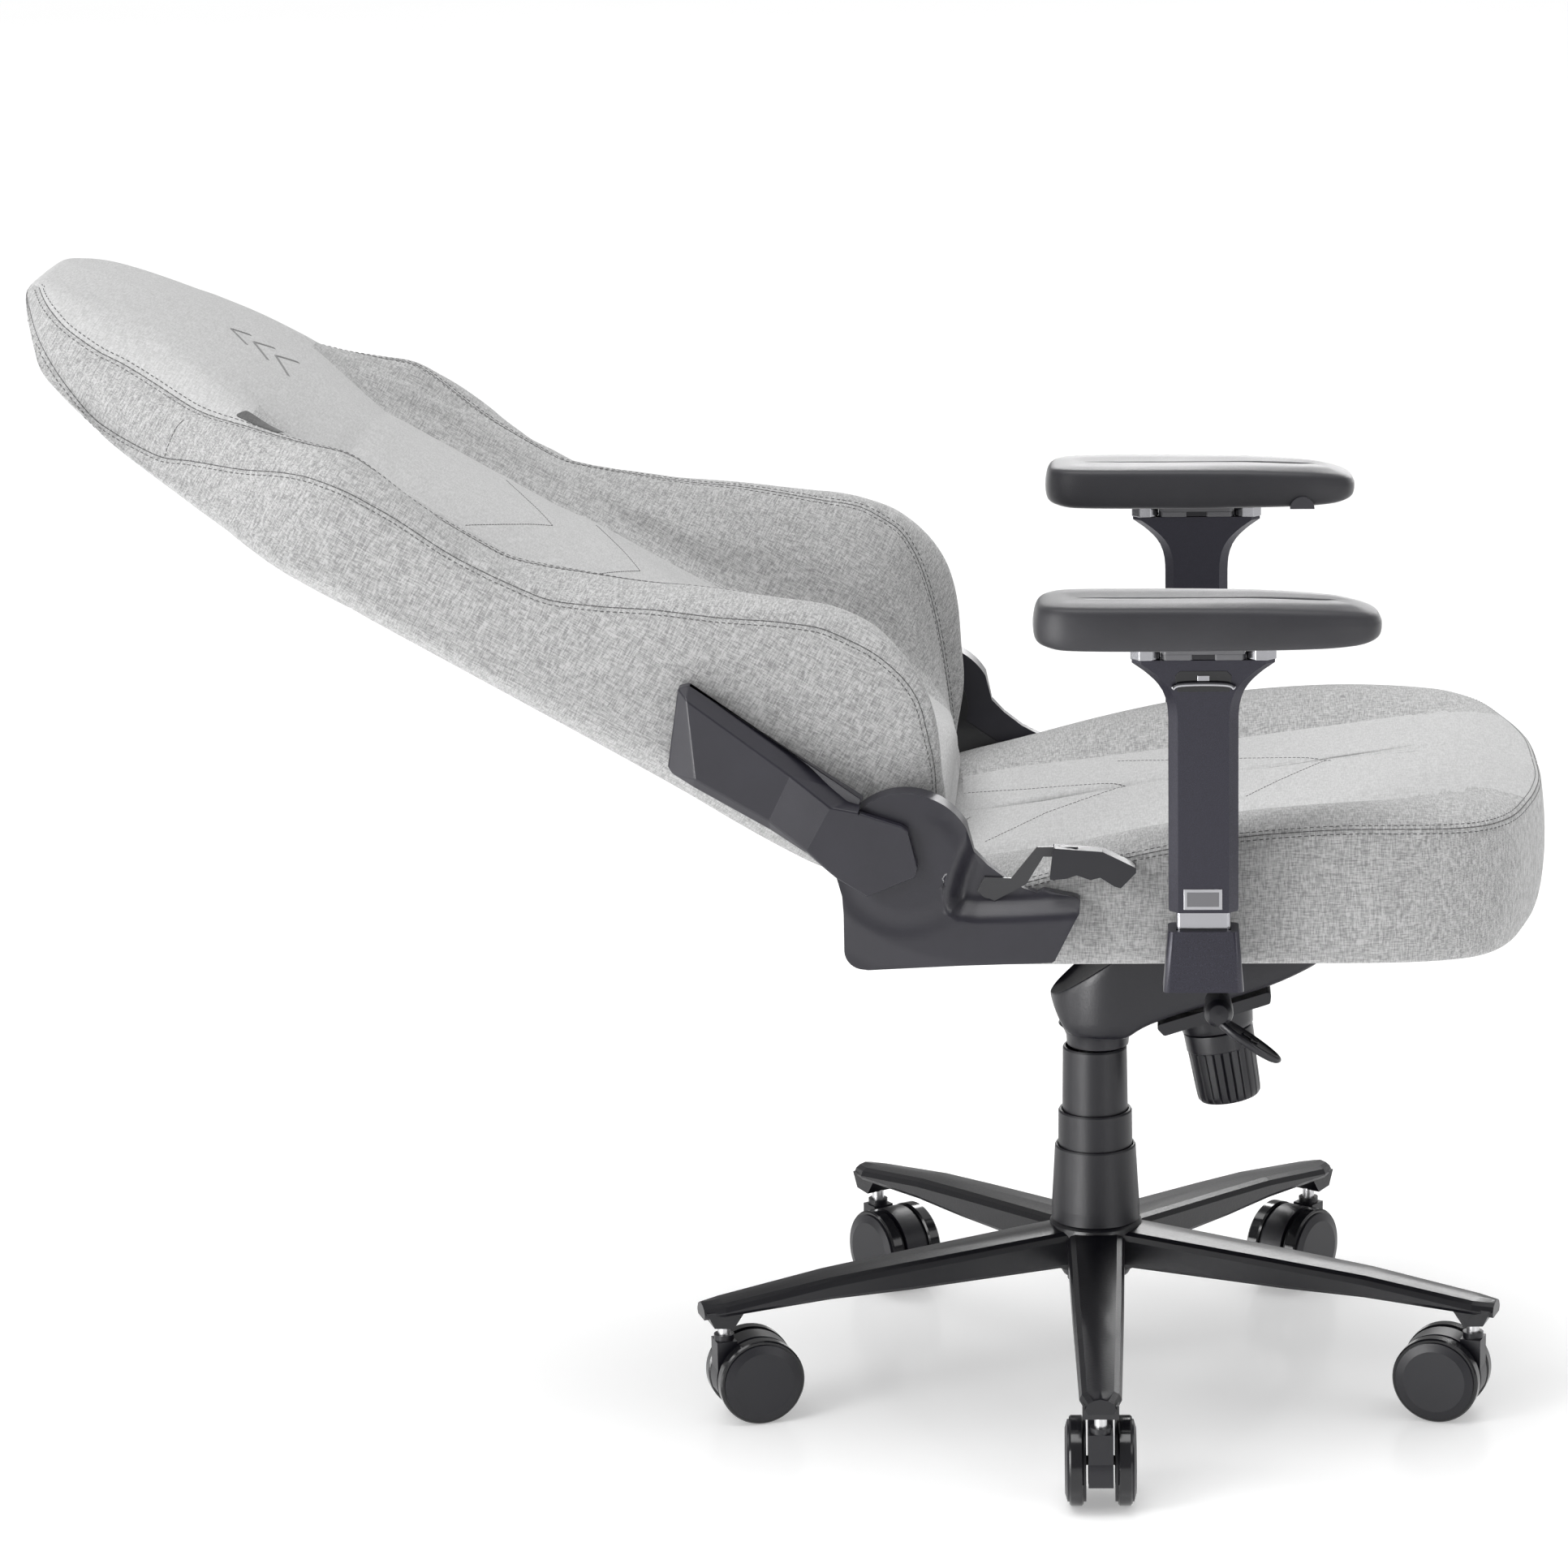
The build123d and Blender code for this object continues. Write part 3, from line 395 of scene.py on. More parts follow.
def mesh_piece(name, verts, faces, finishes, finish_of=None):
    """Mesh object from millimetre vertices, smooth shaded."""
    mesh = bpy.data.meshes.new(name)
    mesh.from_pydata([Vector(v) * 0.001 for v in verts], [], faces)
    mesh.validate()
    for finish in finishes:
        mesh.materials.append(finish)
    if finish_of:
        for index, polygon in enumerate(mesh.polygons):
            polygon.material_index = finish_of(index)
    mesh.shade_smooth()
    piece = bpy.data.objects.new(name, mesh)
    bpy.context.scene.collection.objects.link(piece)
    return piece


def skin_rings(rings):
    """Faces joining closed rings of equal length, with a fan at each end point."""
    count = len(rings[0])
    verts = [v for ring in rings for v in ring]
    faces = []
    for r in range(len(rings) - 1):
        for i in range(count):
            j = (i + 1) % count
            faces.append((r * count + i, r * count + j, (r + 1) * count + j, (r + 1) * count + i))
    for ring, base, turn in ((rings[0], 0, -1), (rings[-1], (len(rings) - 1) * count, 1)):
        centre = sum((Vector(v) for v in ring), Vector((0, 0, 0))) / count
        verts.append(centre)
        for i in range(count):
            j = (i + 1) % count
            pair = (base + i, base + j) if turn > 0 else (base + j, base + i)
            faces.append((*pair, len(verts) - 1))
    return verts, faces


def recalculated(piece):
    """Make every face point outwards."""
    work = bmesh.new()
    work.from_mesh(piece.data)
    bmesh.ops.recalc_face_normals(work, faces=work.faces)
    work.to_mesh(piece.data)
    work.free()


def stuffed(piece, held, cap, pressure=4.0):
    """Inflate a cover by cloth simulation: held vertices stay, others move at most cap metres."""
    rest = [v.co.copy() for v in piece.data.vertices]
    group = piece.vertex_groups.new(name="held")
    group.add(sorted(held), 1.0, "REPLACE")
    cloth = piece.modifiers.new("cloth", "CLOTH")
    cloth.settings.quality = 6
    cloth.settings.mass = 0.4
    cloth.settings.tension_stiffness = 25
    cloth.settings.compression_stiffness = 25
    cloth.settings.shear_stiffness = 12
    cloth.settings.bending_stiffness = 0.6
    cloth.settings.vertex_group_mass = "held"
    cloth.settings.use_pressure = True
    cloth.settings.uniform_pressure_force = pressure
    cloth.settings.effector_weights.gravity = 0
    cloth.point_cache.frame_start = 1
    cloth.point_cache.frame_end = 20
    scene = bpy.context.scene
    for step in range(1, 21):
        scene.frame_set(step)
    seen = piece.evaluated_get(bpy.context.evaluated_depsgraph_get())
    moved = [v.co.copy() for v in seen.data.vertices]
    piece.modifiers.remove(cloth)
    piece.vertex_groups.clear()
    scene.frame_set(1)
    for vertex, before, after in zip(piece.data.vertices, rest, moved):
        shift = after - before
        if shift.length > cap:
            shift *= cap / shift.length
        vertex.co = before + shift
    return rest


def drawn_in(piece, lines, depth):
    """Pull seam lines in: lines are lists of vertex indices, depth in metres by index or a number."""
    normals = [v.normal.copy() for v in piece.data.vertices]
    for line in lines:
        for index in line:
            amount = depth(index) if callable(depth) else depth
            piece.data.vertices[index].co -= normals[index] * amount


def subdivided(piece, levels=1):
    """Smooth the piece with subdivision."""
    smooth = piece.modifiers.new("subdivision", "SUBSURF")
    smooth.levels = levels
    smooth.render_levels = levels


def settled_tree(piece):
    """Search tree of the piece as it shows, modifiers included."""
    bpy.context.view_layer.update()
    return BVHTree.FromObject(piece, bpy.context.evaluated_depsgraph_get())


def resampled(path, spacing):
    """Points every spacing along a path of vectors."""
    out = [path[0]]
    carried = 0.0
    for a, b in zip(path, path[1:]):
        length = (b - a).length
        while length and carried + length >= spacing:
            step = (spacing - carried) / length
            a = a + (b - a) * step
            out.append(a.copy())
            length = (b - a).length
            carried = 0.0
        carried += length
    return out


def sewn(name, tree, paths, offsets, pitch, length, radius, material):
    """Rows of stitches lying on a surface beside each path, one row for each offset in metres."""
    verts, faces = [], []
    for path in paths:
        points = resampled(path, pitch)
        for offset in offsets:
            for a, b in zip(points, points[1:]):
                along = (b - a).normalized()
                middle = (a + b) / 2
                spot, normal, _, _ = tree.find_nearest(middle)
                if spot is None:
                    continue
                side = normal.cross(along).normalized()
                spot, normal, _, _ = tree.find_nearest(spot + side * offset)
                along = (along - normal * along.dot(normal)).normalized()
                side = normal.cross(along)
                base = len(verts)
                for t, swell in ((-0.5, 0.25), (-0.32, 0.9), (0.0, 1.0), (0.32, 0.9), (0.5, 0.25)):
                    lift = radius * (0.75 * swell - 0.35)
                    for k in range(6):
                        angle = k * math.pi / 3
                        verts.append((spot + along * (t * length) + normal * lift
                                      + (side * math.cos(angle) + normal * (math.sin(angle) * 0.7))
                                      * (radius * swell)) * 1000)
                for ring in range(4):
                    for k in range(6):
                        j = (k + 1) % 6
                        faces.append((base + ring * 6 + k, base + ring * 6 + j,
                                      base + ring * 6 + 6 + j, base + ring * 6 + 6 + k))
                faces.append(tuple(base + k for k in range(6)))
                faces.append(tuple(base + 24 + k for k in reversed(range(6))))
    return mesh_piece(name, verts, faces, [material])


# ---- backrest ------------------------------------------------------------------------------------
BACK_ROOT = Vector((-143.0, 0.0, 545.0))
UP = Vector((-math.cos(RECLINE), 0.0, math.sin(RECLINE)))
FRONT = Vector((math.sin(RECLINE), 0.0, math.cos(RECLINE)))
# Each curve runs up the back (mm from the hinge): distance out of the front face, or half width.
BACK = {
    "rear": through([(-24, -20), (8, -42), (45, -53), (110, -54), (198, -52), (558, -52), (622, -49),
                     (684, -47), (735, -43), (786, -37), (811, -32), (828, -23), (845, -11), (858, -1)]),
    "rear_y": through([(-24, 226), (8, 246), (45, 252), (550, 252), (596, 240), (628, 226), (668, 206),
                       (697, 192), (751, 169), (790, 152), (825, 130), (845, 103), (858, 74)]),
    "side_y": through([(-24, 231), (8, 257), (45, 266), (300, 268), (540, 267), (572, 260),
                       (596, 252), (628, 238), (668, 218), (697, 205), (751, 178), (790, 158),
                       (825, 132), (845, 107), (858, 80)]),
    "seam_y": through([(-24, 228), (8, 256), (45, 264), (550, 263), (572, 258), (596, 250), (628, 236),
                       (668, 215), (697, 200), (751, 172), (790, 154), (825, 130), (845, 105),
                       (858, 78)]),
    "seam": through([(-24, -14), (-10, 14), (4, 44), (18.5, 68), (36.5, 89), (59, 112), (83, 123),
                     (113, 128), (149, 126), (182, 115), (231, 92.5), (281, 72), (330, 49),
                     (368, 36), (442, 31.6), (511, 36), (539, 36), (572, 31), (596, 22), (628, 4),
                     (668, -15), (697, -29), (751, -35), (790, -26), (825, -13), (858, 3)]),
    "crest_y": through([(-24, 224), (8, 243), (45, 249), (555, 246), (600, 233), (628, 228),
                        (668, 213), (697, 202), (751, 176), (790, 157), (825, 131), (845, 107),
                        (858, 80)]),
    "crest": through([(-24, -8), (-9, 36), (12, 66), (41, 106), (70, 128), (96, 139), (122, 143),
                      (153, 137), (176, 130), (216, 110), (283, 79), (324, 62), (360, 47), (398, 39),
                      (428, 38.5), (458, 42), (492, 49), (524, 52), (555, 50), (584, 42), (618, 28),
                      (650, 18), (697, 0), (728, -6), (757, -8), (790, -7), (825, 0), (858, 10)]),
    "welt_y": through([(-24, 215), (8, 220), (561, 220), (591, 217), (619, 212), (648, 204),
                       (670, 196), (690, 188), (728, 170), (757, 157), (785, 147), (811, 134),
                       (842, 110), (858, 72)]),
    "welt": through([(-24, -6), (-11, 10), (8, 36), (30, 64), (60, 98), (90, 124), (116, 136),
                     (144, 137), (187, 124), (250, 102), (300, 80), (343, 64), (382, 50), (412, 43),
                     (464, 44), (496, 47), (530, 53), (555, 56), (591, 46), (619, 38), (648, 30),
                     (670, 23), (690, 19), (728, 17.5), (757, 16), (785, 13), (811, 13), (842, 18),
                     (858, 20)]),
    "panel_y": through([(-24, 140), (8, 150), (640, 150), (700, 134), (760, 108), (811, 84),
                        (842, 62), (858, 46)]),
    "panel": through([(-24, -2), (-14, 16), (-1, 28), (20, 31), (110, 27), (242, 23), (294, 23),
                      (351, 24), (392, 20), (520, 20), (554, 20), (592, 28), (628, 37), (657, 42),
                      (700, 44), (760, 42), (800, 39), (825, 36), (845, 30), (858, 25)]),
    "middle": through([(-26, -6), (-20, 12), (-14, 30), (-1, 48), (20, 46), (85, 42), (180, 38),
                       (350, 35), (480, 34), (550, 36), (605, 42), (670, 48), (760, 49), (800, 46),
                       (825, 41), (845, 33), (858, 27)]),
    "roll_y": through([(-24, 0.55), (540, 0.55), (680, 0.66), (858, 0.66)]),
    "roll": through([(-24, 0.60), (400, 0.60), (560, 0.55), (640, 0.36), (700, 0.30), (858, 0.30)]),
}
BACK_STEPS = (16, 7, 7, 4, 4, 8, 6, 16)
WELT_AT = BACK_STEPS[0] + BACK_STEPS[1] + BACK_STEPS[2]
SEAM_AT = WELT_AT + BACK_STEPS[3] + BACK_STEPS[4]
PANEL_AT = BACK_STEPS[0]
REAR_AT = SEAM_AT + BACK_STEPS[5]


def back_spot(s, y, n):
    """Place on the backrest: s up it, y to the sitter's left, n out of its front."""
    return BACK_ROOT + UP * s + FRONT * n + Vector((0, y, 0))


def back_ring(s, shrink=0.0):
    """Closed section of the backrest at s; shrink draws it towards its middle for the ends."""
    at = {key: curve(s) for key, curve in BACK.items()}
    half = [(0, at["middle"]), (at["panel_y"], at["panel"]),
            (at["panel_y"] + at["roll_y"] * (at["welt_y"] - at["panel_y"]),
             at["panel"] + at["roll"] * (at["welt"] - at["panel"])),
            (at["welt_y"], at["welt"]), (at["crest_y"], at["crest"]), (at["seam_y"], at["seam"]),
            (at["side_y"], 0.5 * (at["seam"] + at["rear"])), (at["rear_y"], at["rear"] + 4),
            (0, at["rear"])]
    middle_n = 0.5 * (at["middle"] + at["rear"])
    run = smooth_run(half, BACK_STEPS)
    run[0].x = run[-1].x = 0.0
    run = [Vector((p.x * (1 - 0.25 * shrink), middle_n + (p.y - middle_n) * (1 - shrink))) for p in run]
    right = [back_spot(s, p.x, p.y) for p in run]
    left = [back_spot(s, -p.x, p.y) for p in run[-2:0:-1]]
    return right + left


def back_cushion():
    """Backrest cover over its foam, with drawn seams, sewn lines and a dark cord of painted shade in the
    seams.
    """
    stations = [-24 + 7 * k for k in range(8)] + [32 + 9.0 * k for k in range(91)]
    stations = [s for s in stations if s < 851] + [851, 855, 858]
    rings = [back_ring(-28, 0.97), back_ring(-27, 0.72), back_ring(-25.5, 0.35)]
    for ring, drop in zip(rings, (7.0, 5.5, 2.5)):
        for i, p in enumerate(ring):
            ring[i] = p - UP * drop
    rings += [back_ring(s) for s in stations]
    head_from = 3 + sum(1 for s in stations if s < 640)
    for shrink, rise in ((0.3, 4.0), (0.65, 6.5), (0.95, 7.6)):
        rings.append([p + UP * rise for p in back_ring(858, shrink)])
    first = 3
    count = len(rings[0])
    verts, faces = skin_rings(rings)

    def panel_face(index):
        ring, i = divmod(index, count)
        side = min(i, count - 1 - i)
        reach = WELT_AT if ring >= head_from else PANEL_AT
        return 1 if ring < len(rings) - 1 and side < reach else 0

    piece = mesh_piece("back_cushion_cover", verts, faces, [BACK_CLOTH, BACK_PANEL], panel_face)
    recalculated(piece)
    last = first + len(stations)

    def line(column, start=first, stop=last):
        return [[r * count + c for r in range(start, stop)] for c in (column, (count - column) % count)]

    panel_stop = first + sum(1 for s in stations if s < 650)
    seams = line(WELT_AT) + line(SEAM_AT)
    panel_lines = line(PANEL_AT, first, panel_stop)
    held = {i for l in seams + panel_lines for i in l} | {i for l in line(REAR_AT) for i in l}
    held |= set(range(0, (first + 2) * count)) | set(range((last - 2) * count, len(verts)))
    stuffed(piece, held, 0.0045)
    drawn_in(piece, seams, 0.0018)
    drawn_in(piece, panel_lines, 0.003)
    subdivided(piece)
    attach(piece, "backrest")
    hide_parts("back_cushion", *[n for n in frame["nodes"] if n.startswith("back_bolster")])

    tree = settled_tree(piece)
    co = [v.co.copy() for v in piece.data.vertices]
    welts = [[co[i] for i in l] for l in line(WELT_AT)]
    outer = [[co[i] for i in l] for l in line(SEAM_AT)]
    stitches = sewn("back_welt_stitches", tree, welts, (-0.0042, 0.0042), 0.0052, 0.0036,
                    0.00042, THREAD)
    outer_stitches = sewn("back_side_stitches", tree, outer, (0.0038,), 0.0052, 0.0036, 0.00042, THREAD)
    # Dark cord of overlapping thread along the welt and side seams: painted shade in the seam creases, not
    # stitching.
    creases = sewn("back_seam_painted_shade", tree, welts + outer, (0.0,), 0.006, 0.0066, 0.00045,
                   THREAD)
    chevrons = [[(384, 0), (427, 80), (440, 112)], [(384, 0), (427, -80), (450, -120)],
                [(300, 0), (342, 95), (352, 122)], [(300, 0), (342, -95), (352, -122)]]
    lines = []
    for points in chevrons:
        run = [back_spot(s, y, 60) * 0.001 for s, y in points]
        lines.append([tree.ray_cast(p, -FRONT)[0] or p for p in resampled(run, 0.004)])
    marks = sewn("back_chevrons", tree, lines, (0.0,), 0.0042, 0.0036, 0.0004, THREAD)
    cross = [[back_spot(s, side * BACK["side_y"](s), n) * 0.001
              for s, n in ((692, -27), (693, -10), (694, 4), (694, 17))] for side in (1, -1)]
    crosses = sewn("head_side_stitches", tree, cross, (0.0,), 0.0046, 0.0036, 0.0004, THREAD)
    for row in (stitches, outer_stitches, creases, marks, crosses):
        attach(row, "backrest")
    return piece


# ---- seat ----------------------------------------------------------------------------------------
SEAT_OUTLINE = [(378, 0), (377, 60), (371, 108), (362, 150), (346, 205), (322, 240), (290, 256),
                (250, 263), (200, 265), (100, 265), (0, 265), (-90, 265), (-140, 262), (-166, 240),
                (-174, 200), (-175, 100), (-175, 0)]
SEAT_STEPS = [6, 5, 5, 4, 6, 5, 4, 4, 5, 9, 9, 8, 5, 4, 4, 9]
SEAT_TOP = {
    "middle": through([(-180, 482), (-120, 503), (36, 534), (120, 545), (204, 555), (300, 566),
                       (345, 568), (385, 563)]),
    "groove": through([(-180, 479), (-120, 506), (25, 527), (120, 540), (214, 553), (302, 565),
                       (345, 567), (385, 561)]),
    "bolster": through([(-180, 479), (-165, 492), (-75, 520), (60, 553), (150, 566), (240, 571),
                        (330, 570), (385, 562)]),
    "seam": through([(-175, 478), (-150, 492), (-124, 502), (-69, 515), (0, 533), (63, 547),
                     (120, 557), (216, 563), (324, 560), (380, 558)]),
}


SEAT_UNDER = 446.2


def seat_height(x, y, inset):
    """Top surface of the seat before stuffing; inset is the distance from the rim."""
    side = abs(y)
    groove, bolster = SEAT_TOP["groove"](x), SEAT_TOP["bolster"](x)
    if side < 150:
        height = groove + (SEAT_TOP["middle"](x) - groove) * (1 - (side / 150) ** 2)
    else:
        t = min(1.0, (side - 150) / 62)
        height = groove + (bolster - groove) * (t * t * (3 - 2 * t))
    seam = SEAT_TOP["seam"](x)
    t = min(1.0, inset / 48)
    return seam + (height - seam) * (1 - (1 - t) ** 2.2)


def seat_cushion():
    """Seat cover over its foam: top panel, rim seam and bulging side wall."""
    half = smooth_run(SEAT_OUTLINE, SEAT_STEPS)
    outline = [Vector((p.x, p.y)) for p in half] + [Vector((p.x, -p.y)) for p in half[-2:0:-1]]
    count = len(outline)
    rings = []
    inward = []
    for i, p in enumerate(outline):
        along = (outline[(i + 1) % count] - outline[i - 1]).normalized()
        inward.append(Vector((-along.y, along.x)))
    insets = [0, 4, 9, 15, 22, 31, 41, 52, 64]
    # wall: bottom edge up to the rim
    wall = [(-14, 0.0), (-6, 0.012), (-1.5, 0.06), (1.5, 0.16), (3.2, 0.3), (4, 0.45), (4, 0.6), (3, 0.74),
            (1.6, 0.87), (0.6, 0.95)]
    for bulge, share in wall:
        ring = []
        for p, way in zip(outline, inward):
            seam = SEAT_TOP["seam"](p.x)
            spot = p - way * bulge
            ring.append(Vector((spot.x, spot.y, SEAT_UNDER + (seam - SEAT_UNDER) * share)))
        rings.append(ring)
    for inset in insets:
        ring = []
        for p, way in zip(outline, inward):
            spot = p + way * inset
            ring.append(Vector((spot.x, spot.y, seat_height(spot.x, spot.y, inset))))
        rings.append(ring)
    rim = [Vector((v.x, v.y)) for v in rings[-1]]
    for k in range(1, 27):
        share = 1 - k / 27
        ring = []
        for p in rim:
            target = Vector((max(min(p.x, 300), -110), 0))
            spot = target + (p - target) * share
            ring.append(Vector((spot.x, spot.y, seat_height(spot.x, spot.y, 99))))
        rings.append(ring)
    rings.insert(0, [Vector((v.x * 0.9 + 10, v.y * 0.9, SEAT_UNDER)) for v in rings[0]])
    rings.insert(0, [Vector((v.x * 0.5 + 50, v.y * 0.5, SEAT_UNDER)) for v in rings[0]])
    verts, faces = skin_rings(rings)
    seam_ring = 2 + len(wall)

    def part_of(index):
        ring = index // count
        if ring < 2 or index >= (len(rings) - 1) * count and index < len(rings) * count:
            return 2
        spots = [verts[i] for i in faces[index]]
        return 1 if ring >= seam_ring and max(abs(v[1]) for v in spots) < 152 else 0

    piece = mesh_piece("seat_cushion_cover", verts, faces, [SEAT_CLOTH, SEAT_PANEL, DUST_CLOTH], part_of)
    recalculated(piece)
    seam = [seam_ring * count + i for i in range(count)]
    held = set(seam) | set(range(0, 5 * count))
    grooves = [i for i, v in enumerate(verts[:len(rings) * count])
               if i // count > seam_ring and abs(abs(v[1]) - 150) < 5 and -120 < v[0] < 300]
    stuffed(piece, held | set(grooves), 0.004)
    drawn_in(piece, [seam], 0.0018)
    drawn_in(piece, [grooves], 0.0016)
    subdivided(piece)
    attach(piece, "seat")
    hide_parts("seat_cushion", "seat_pan")

    tree = settled_tree(piece)
    co = [v.co.copy() for v in piece.data.vertices]
    loop = [co[i] for i in seam] + [co[seam[0]]]
    rows = [sewn("seat_rim_stitches", tree, [loop], (0.004, -0.004), 0.0052, 0.0036, 0.00042, THREAD),
            # Dark cord of overlapping thread in the rim seam: painted shade in the crease, not stitching.
            sewn("seat_rim_painted_shade", tree, [loop], (0.0,), 0.006, 0.0066, 0.00045, THREAD)]
    chevrons = [[(204, 0), (60, 70), (15, 100)], [(204, 0), (155, -60), (125, -100)],
                [(36, 0), (-60, 45), (-117, 80)], [(36, 0), (-40, -55), (-92, -120)]]
    lines = []
    for points in chevrons:
        run = [Vector((x, y, 640)) * 0.001 for x, y in points]
        lines.append([tree.ray_cast(p, Vector((0, 0, -1)))[0] or p for p in resampled(run, 0.004)])
    rows.append(sewn("seat_chevrons", tree, lines, (0.0,), 0.0042, 0.0036, 0.0004, THREAD))
    for row in rows:
        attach(row, "seat")
    return piece


# ---- hard covers ---------------------------------------------------------------------------------
def mirrored(piece, name):
    """The same piece for the other side of the chair."""
    mesh = piece.data.copy()
    mesh.transform(Matrix.Scale(-1, 4, (0, 1, 0)))
    mesh.flip_normals()
    other = piece.copy()
    other.data = mesh
    other.name = mesh.name = name
    bpy.context.scene.collection.objects.link(other)
    return other


def rounded_edges(piece, width, angle=30, segments=3):
    """Small radius on edges sharper than angle."""
    bevel = piece.modifiers.new("edge_radius", "BEVEL")
    bevel.width = width
    bevel.segments = segments
    bevel.limit_method = "ANGLE"
    bevel.angle_limit = math.radians(angle)
    bevel.harden_normals = True


def relief_shell(name, outline, creases, depth, inner, spacing, finish, crisp):
    """Shell facing the sitter's right: outline in X and Z, front face at depth(x, z), back at inner.

    Creases are lines that the mesh keeps; spacing fills the face with points for curved relief."""
    points = [Vector(p) for p in outline]
    edges = [(i, (i + 1) % len(points)) for i in range(len(points))]
    for line in creases:
        start = len(points)
        points += [Vector(p) for p in line]
        edges += [(start + i, start + i + 1) for i in range(len(line) - 1)]
    if spacing:
        low = [min(p[i] for p in outline) for i in (0, 1)]
        high = [max(p[i] for p in outline) for i in (0, 1)]
        for i in range(int((high[0] - low[0]) / spacing) + 1):
            for j in range(int((high[1] - low[1]) / spacing) + 1):
                spot = Vector((low[0] + (i + 0.5 * (j % 2)) * spacing, low[1] + j * spacing * 0.87))
                if inside(spot, outline) and beside(spot, outline + outline[:1])[0] > 0.6 * spacing:
                    points.append(spot)
    flat, _, triangles, _, _, _ = delaunay_2d_cdt(points, edges, [], 1, 1e-4)
    count = len(flat)
    verts = [(p.x, -depth(p.x, p.y), p.y) for p in flat] + [(p.x, -inner, p.y) for p in flat]
    faces = [tuple(t) for t in triangles] + [tuple(count + i for i in reversed(t)) for t in triangles]
    sides = {}
    for t in triangles:
        for a, b in zip(t, t[1:] + t[:1]):
            sides[(a, b)] = sides.get((a, b), 0) + 1
    for a, b in sides:
        if (b, a) not in sides:
            faces.append((b, a, count + a, count + b))
    piece = mesh_piece(name, verts, faces, [finish])
    recalculated(piece)
    piece.data.set_sharp_from_angle(angle=math.radians(crisp))
    return piece


def inside(spot, outline):
    """True if spot lies in the closed outline."""
    hits = False
    for (x0, y0), (x1, y1) in zip(outline, outline[1:] + outline[:1]):
        if (y0 > spot.y) != (y1 > spot.y) and spot.x < x0 + (spot.y - y0) * (x1 - x0) / (y1 - y0):
            hits = not hits
    return hits


def beside(spot, line):
    """Distance to a line of points, and the side it lies on: positive to the left of its run."""
    best = (1e9, 1.0)
    for a, b in zip(line, line[1:]):
        a, b = Vector(a), Vector(b)
        run = b - a
        share = min(1.0, max(0.0, (spot - a).dot(run) / run.length_squared))
        gap = spot - a - run * share
        if gap.length < best[0]:
            best = (gap.length, 1.0 if run.cross(gap) > 0 else -1.0)
    return best


def arc(centre, radius, start, stop, steps):
    """Points along an arc, angles in degrees."""
    return [(centre[0] + radius * math.cos(math.radians(start + (stop - start) * k / steps)),
             centre[1] + radius * math.sin(math.radians(start + (stop - start) * k / steps)))
            for k in range(steps + 1)]


ARMREST_AT = 300.0
HINGE_AT = (-149.5, 543.0)
SCOOP = [(-101, 568), (-108, 552), (-115, 536), (-119, 521), (-119.5, 509), (-116, 499), (-108, 494),
         (-92, 492), (-60, 493), (-8, 496)]
HEEL = [(-206, 511), (-192, 494), (-163, 476), (-134, 465), (-98, 457)]


def seat_cover_depth(x, z):
    """Scooped hollow behind the ridge, soft heel facet, shallow dish round the pivot."""
    spot = Vector((x, z))
    depth = 297.0
    gap, side = beside(spot, SCOOP)
    if side > 0 and x > -121:
        share = min(1.0, gap / 20)
        depth -= 15 * share * share * (3 - 2 * share)
    gap, side = beside(spot, HEEL)
    if side < 0:
        depth -= min(5.0, gap * 0.20)
    ring = (spot - Vector(HINGE_AT)).length
    if 38 < ring < 66 and side > 0:
        depth -= 1.1 * math.sin(math.pi * (ring - 38) / 28) ** 2
    return depth


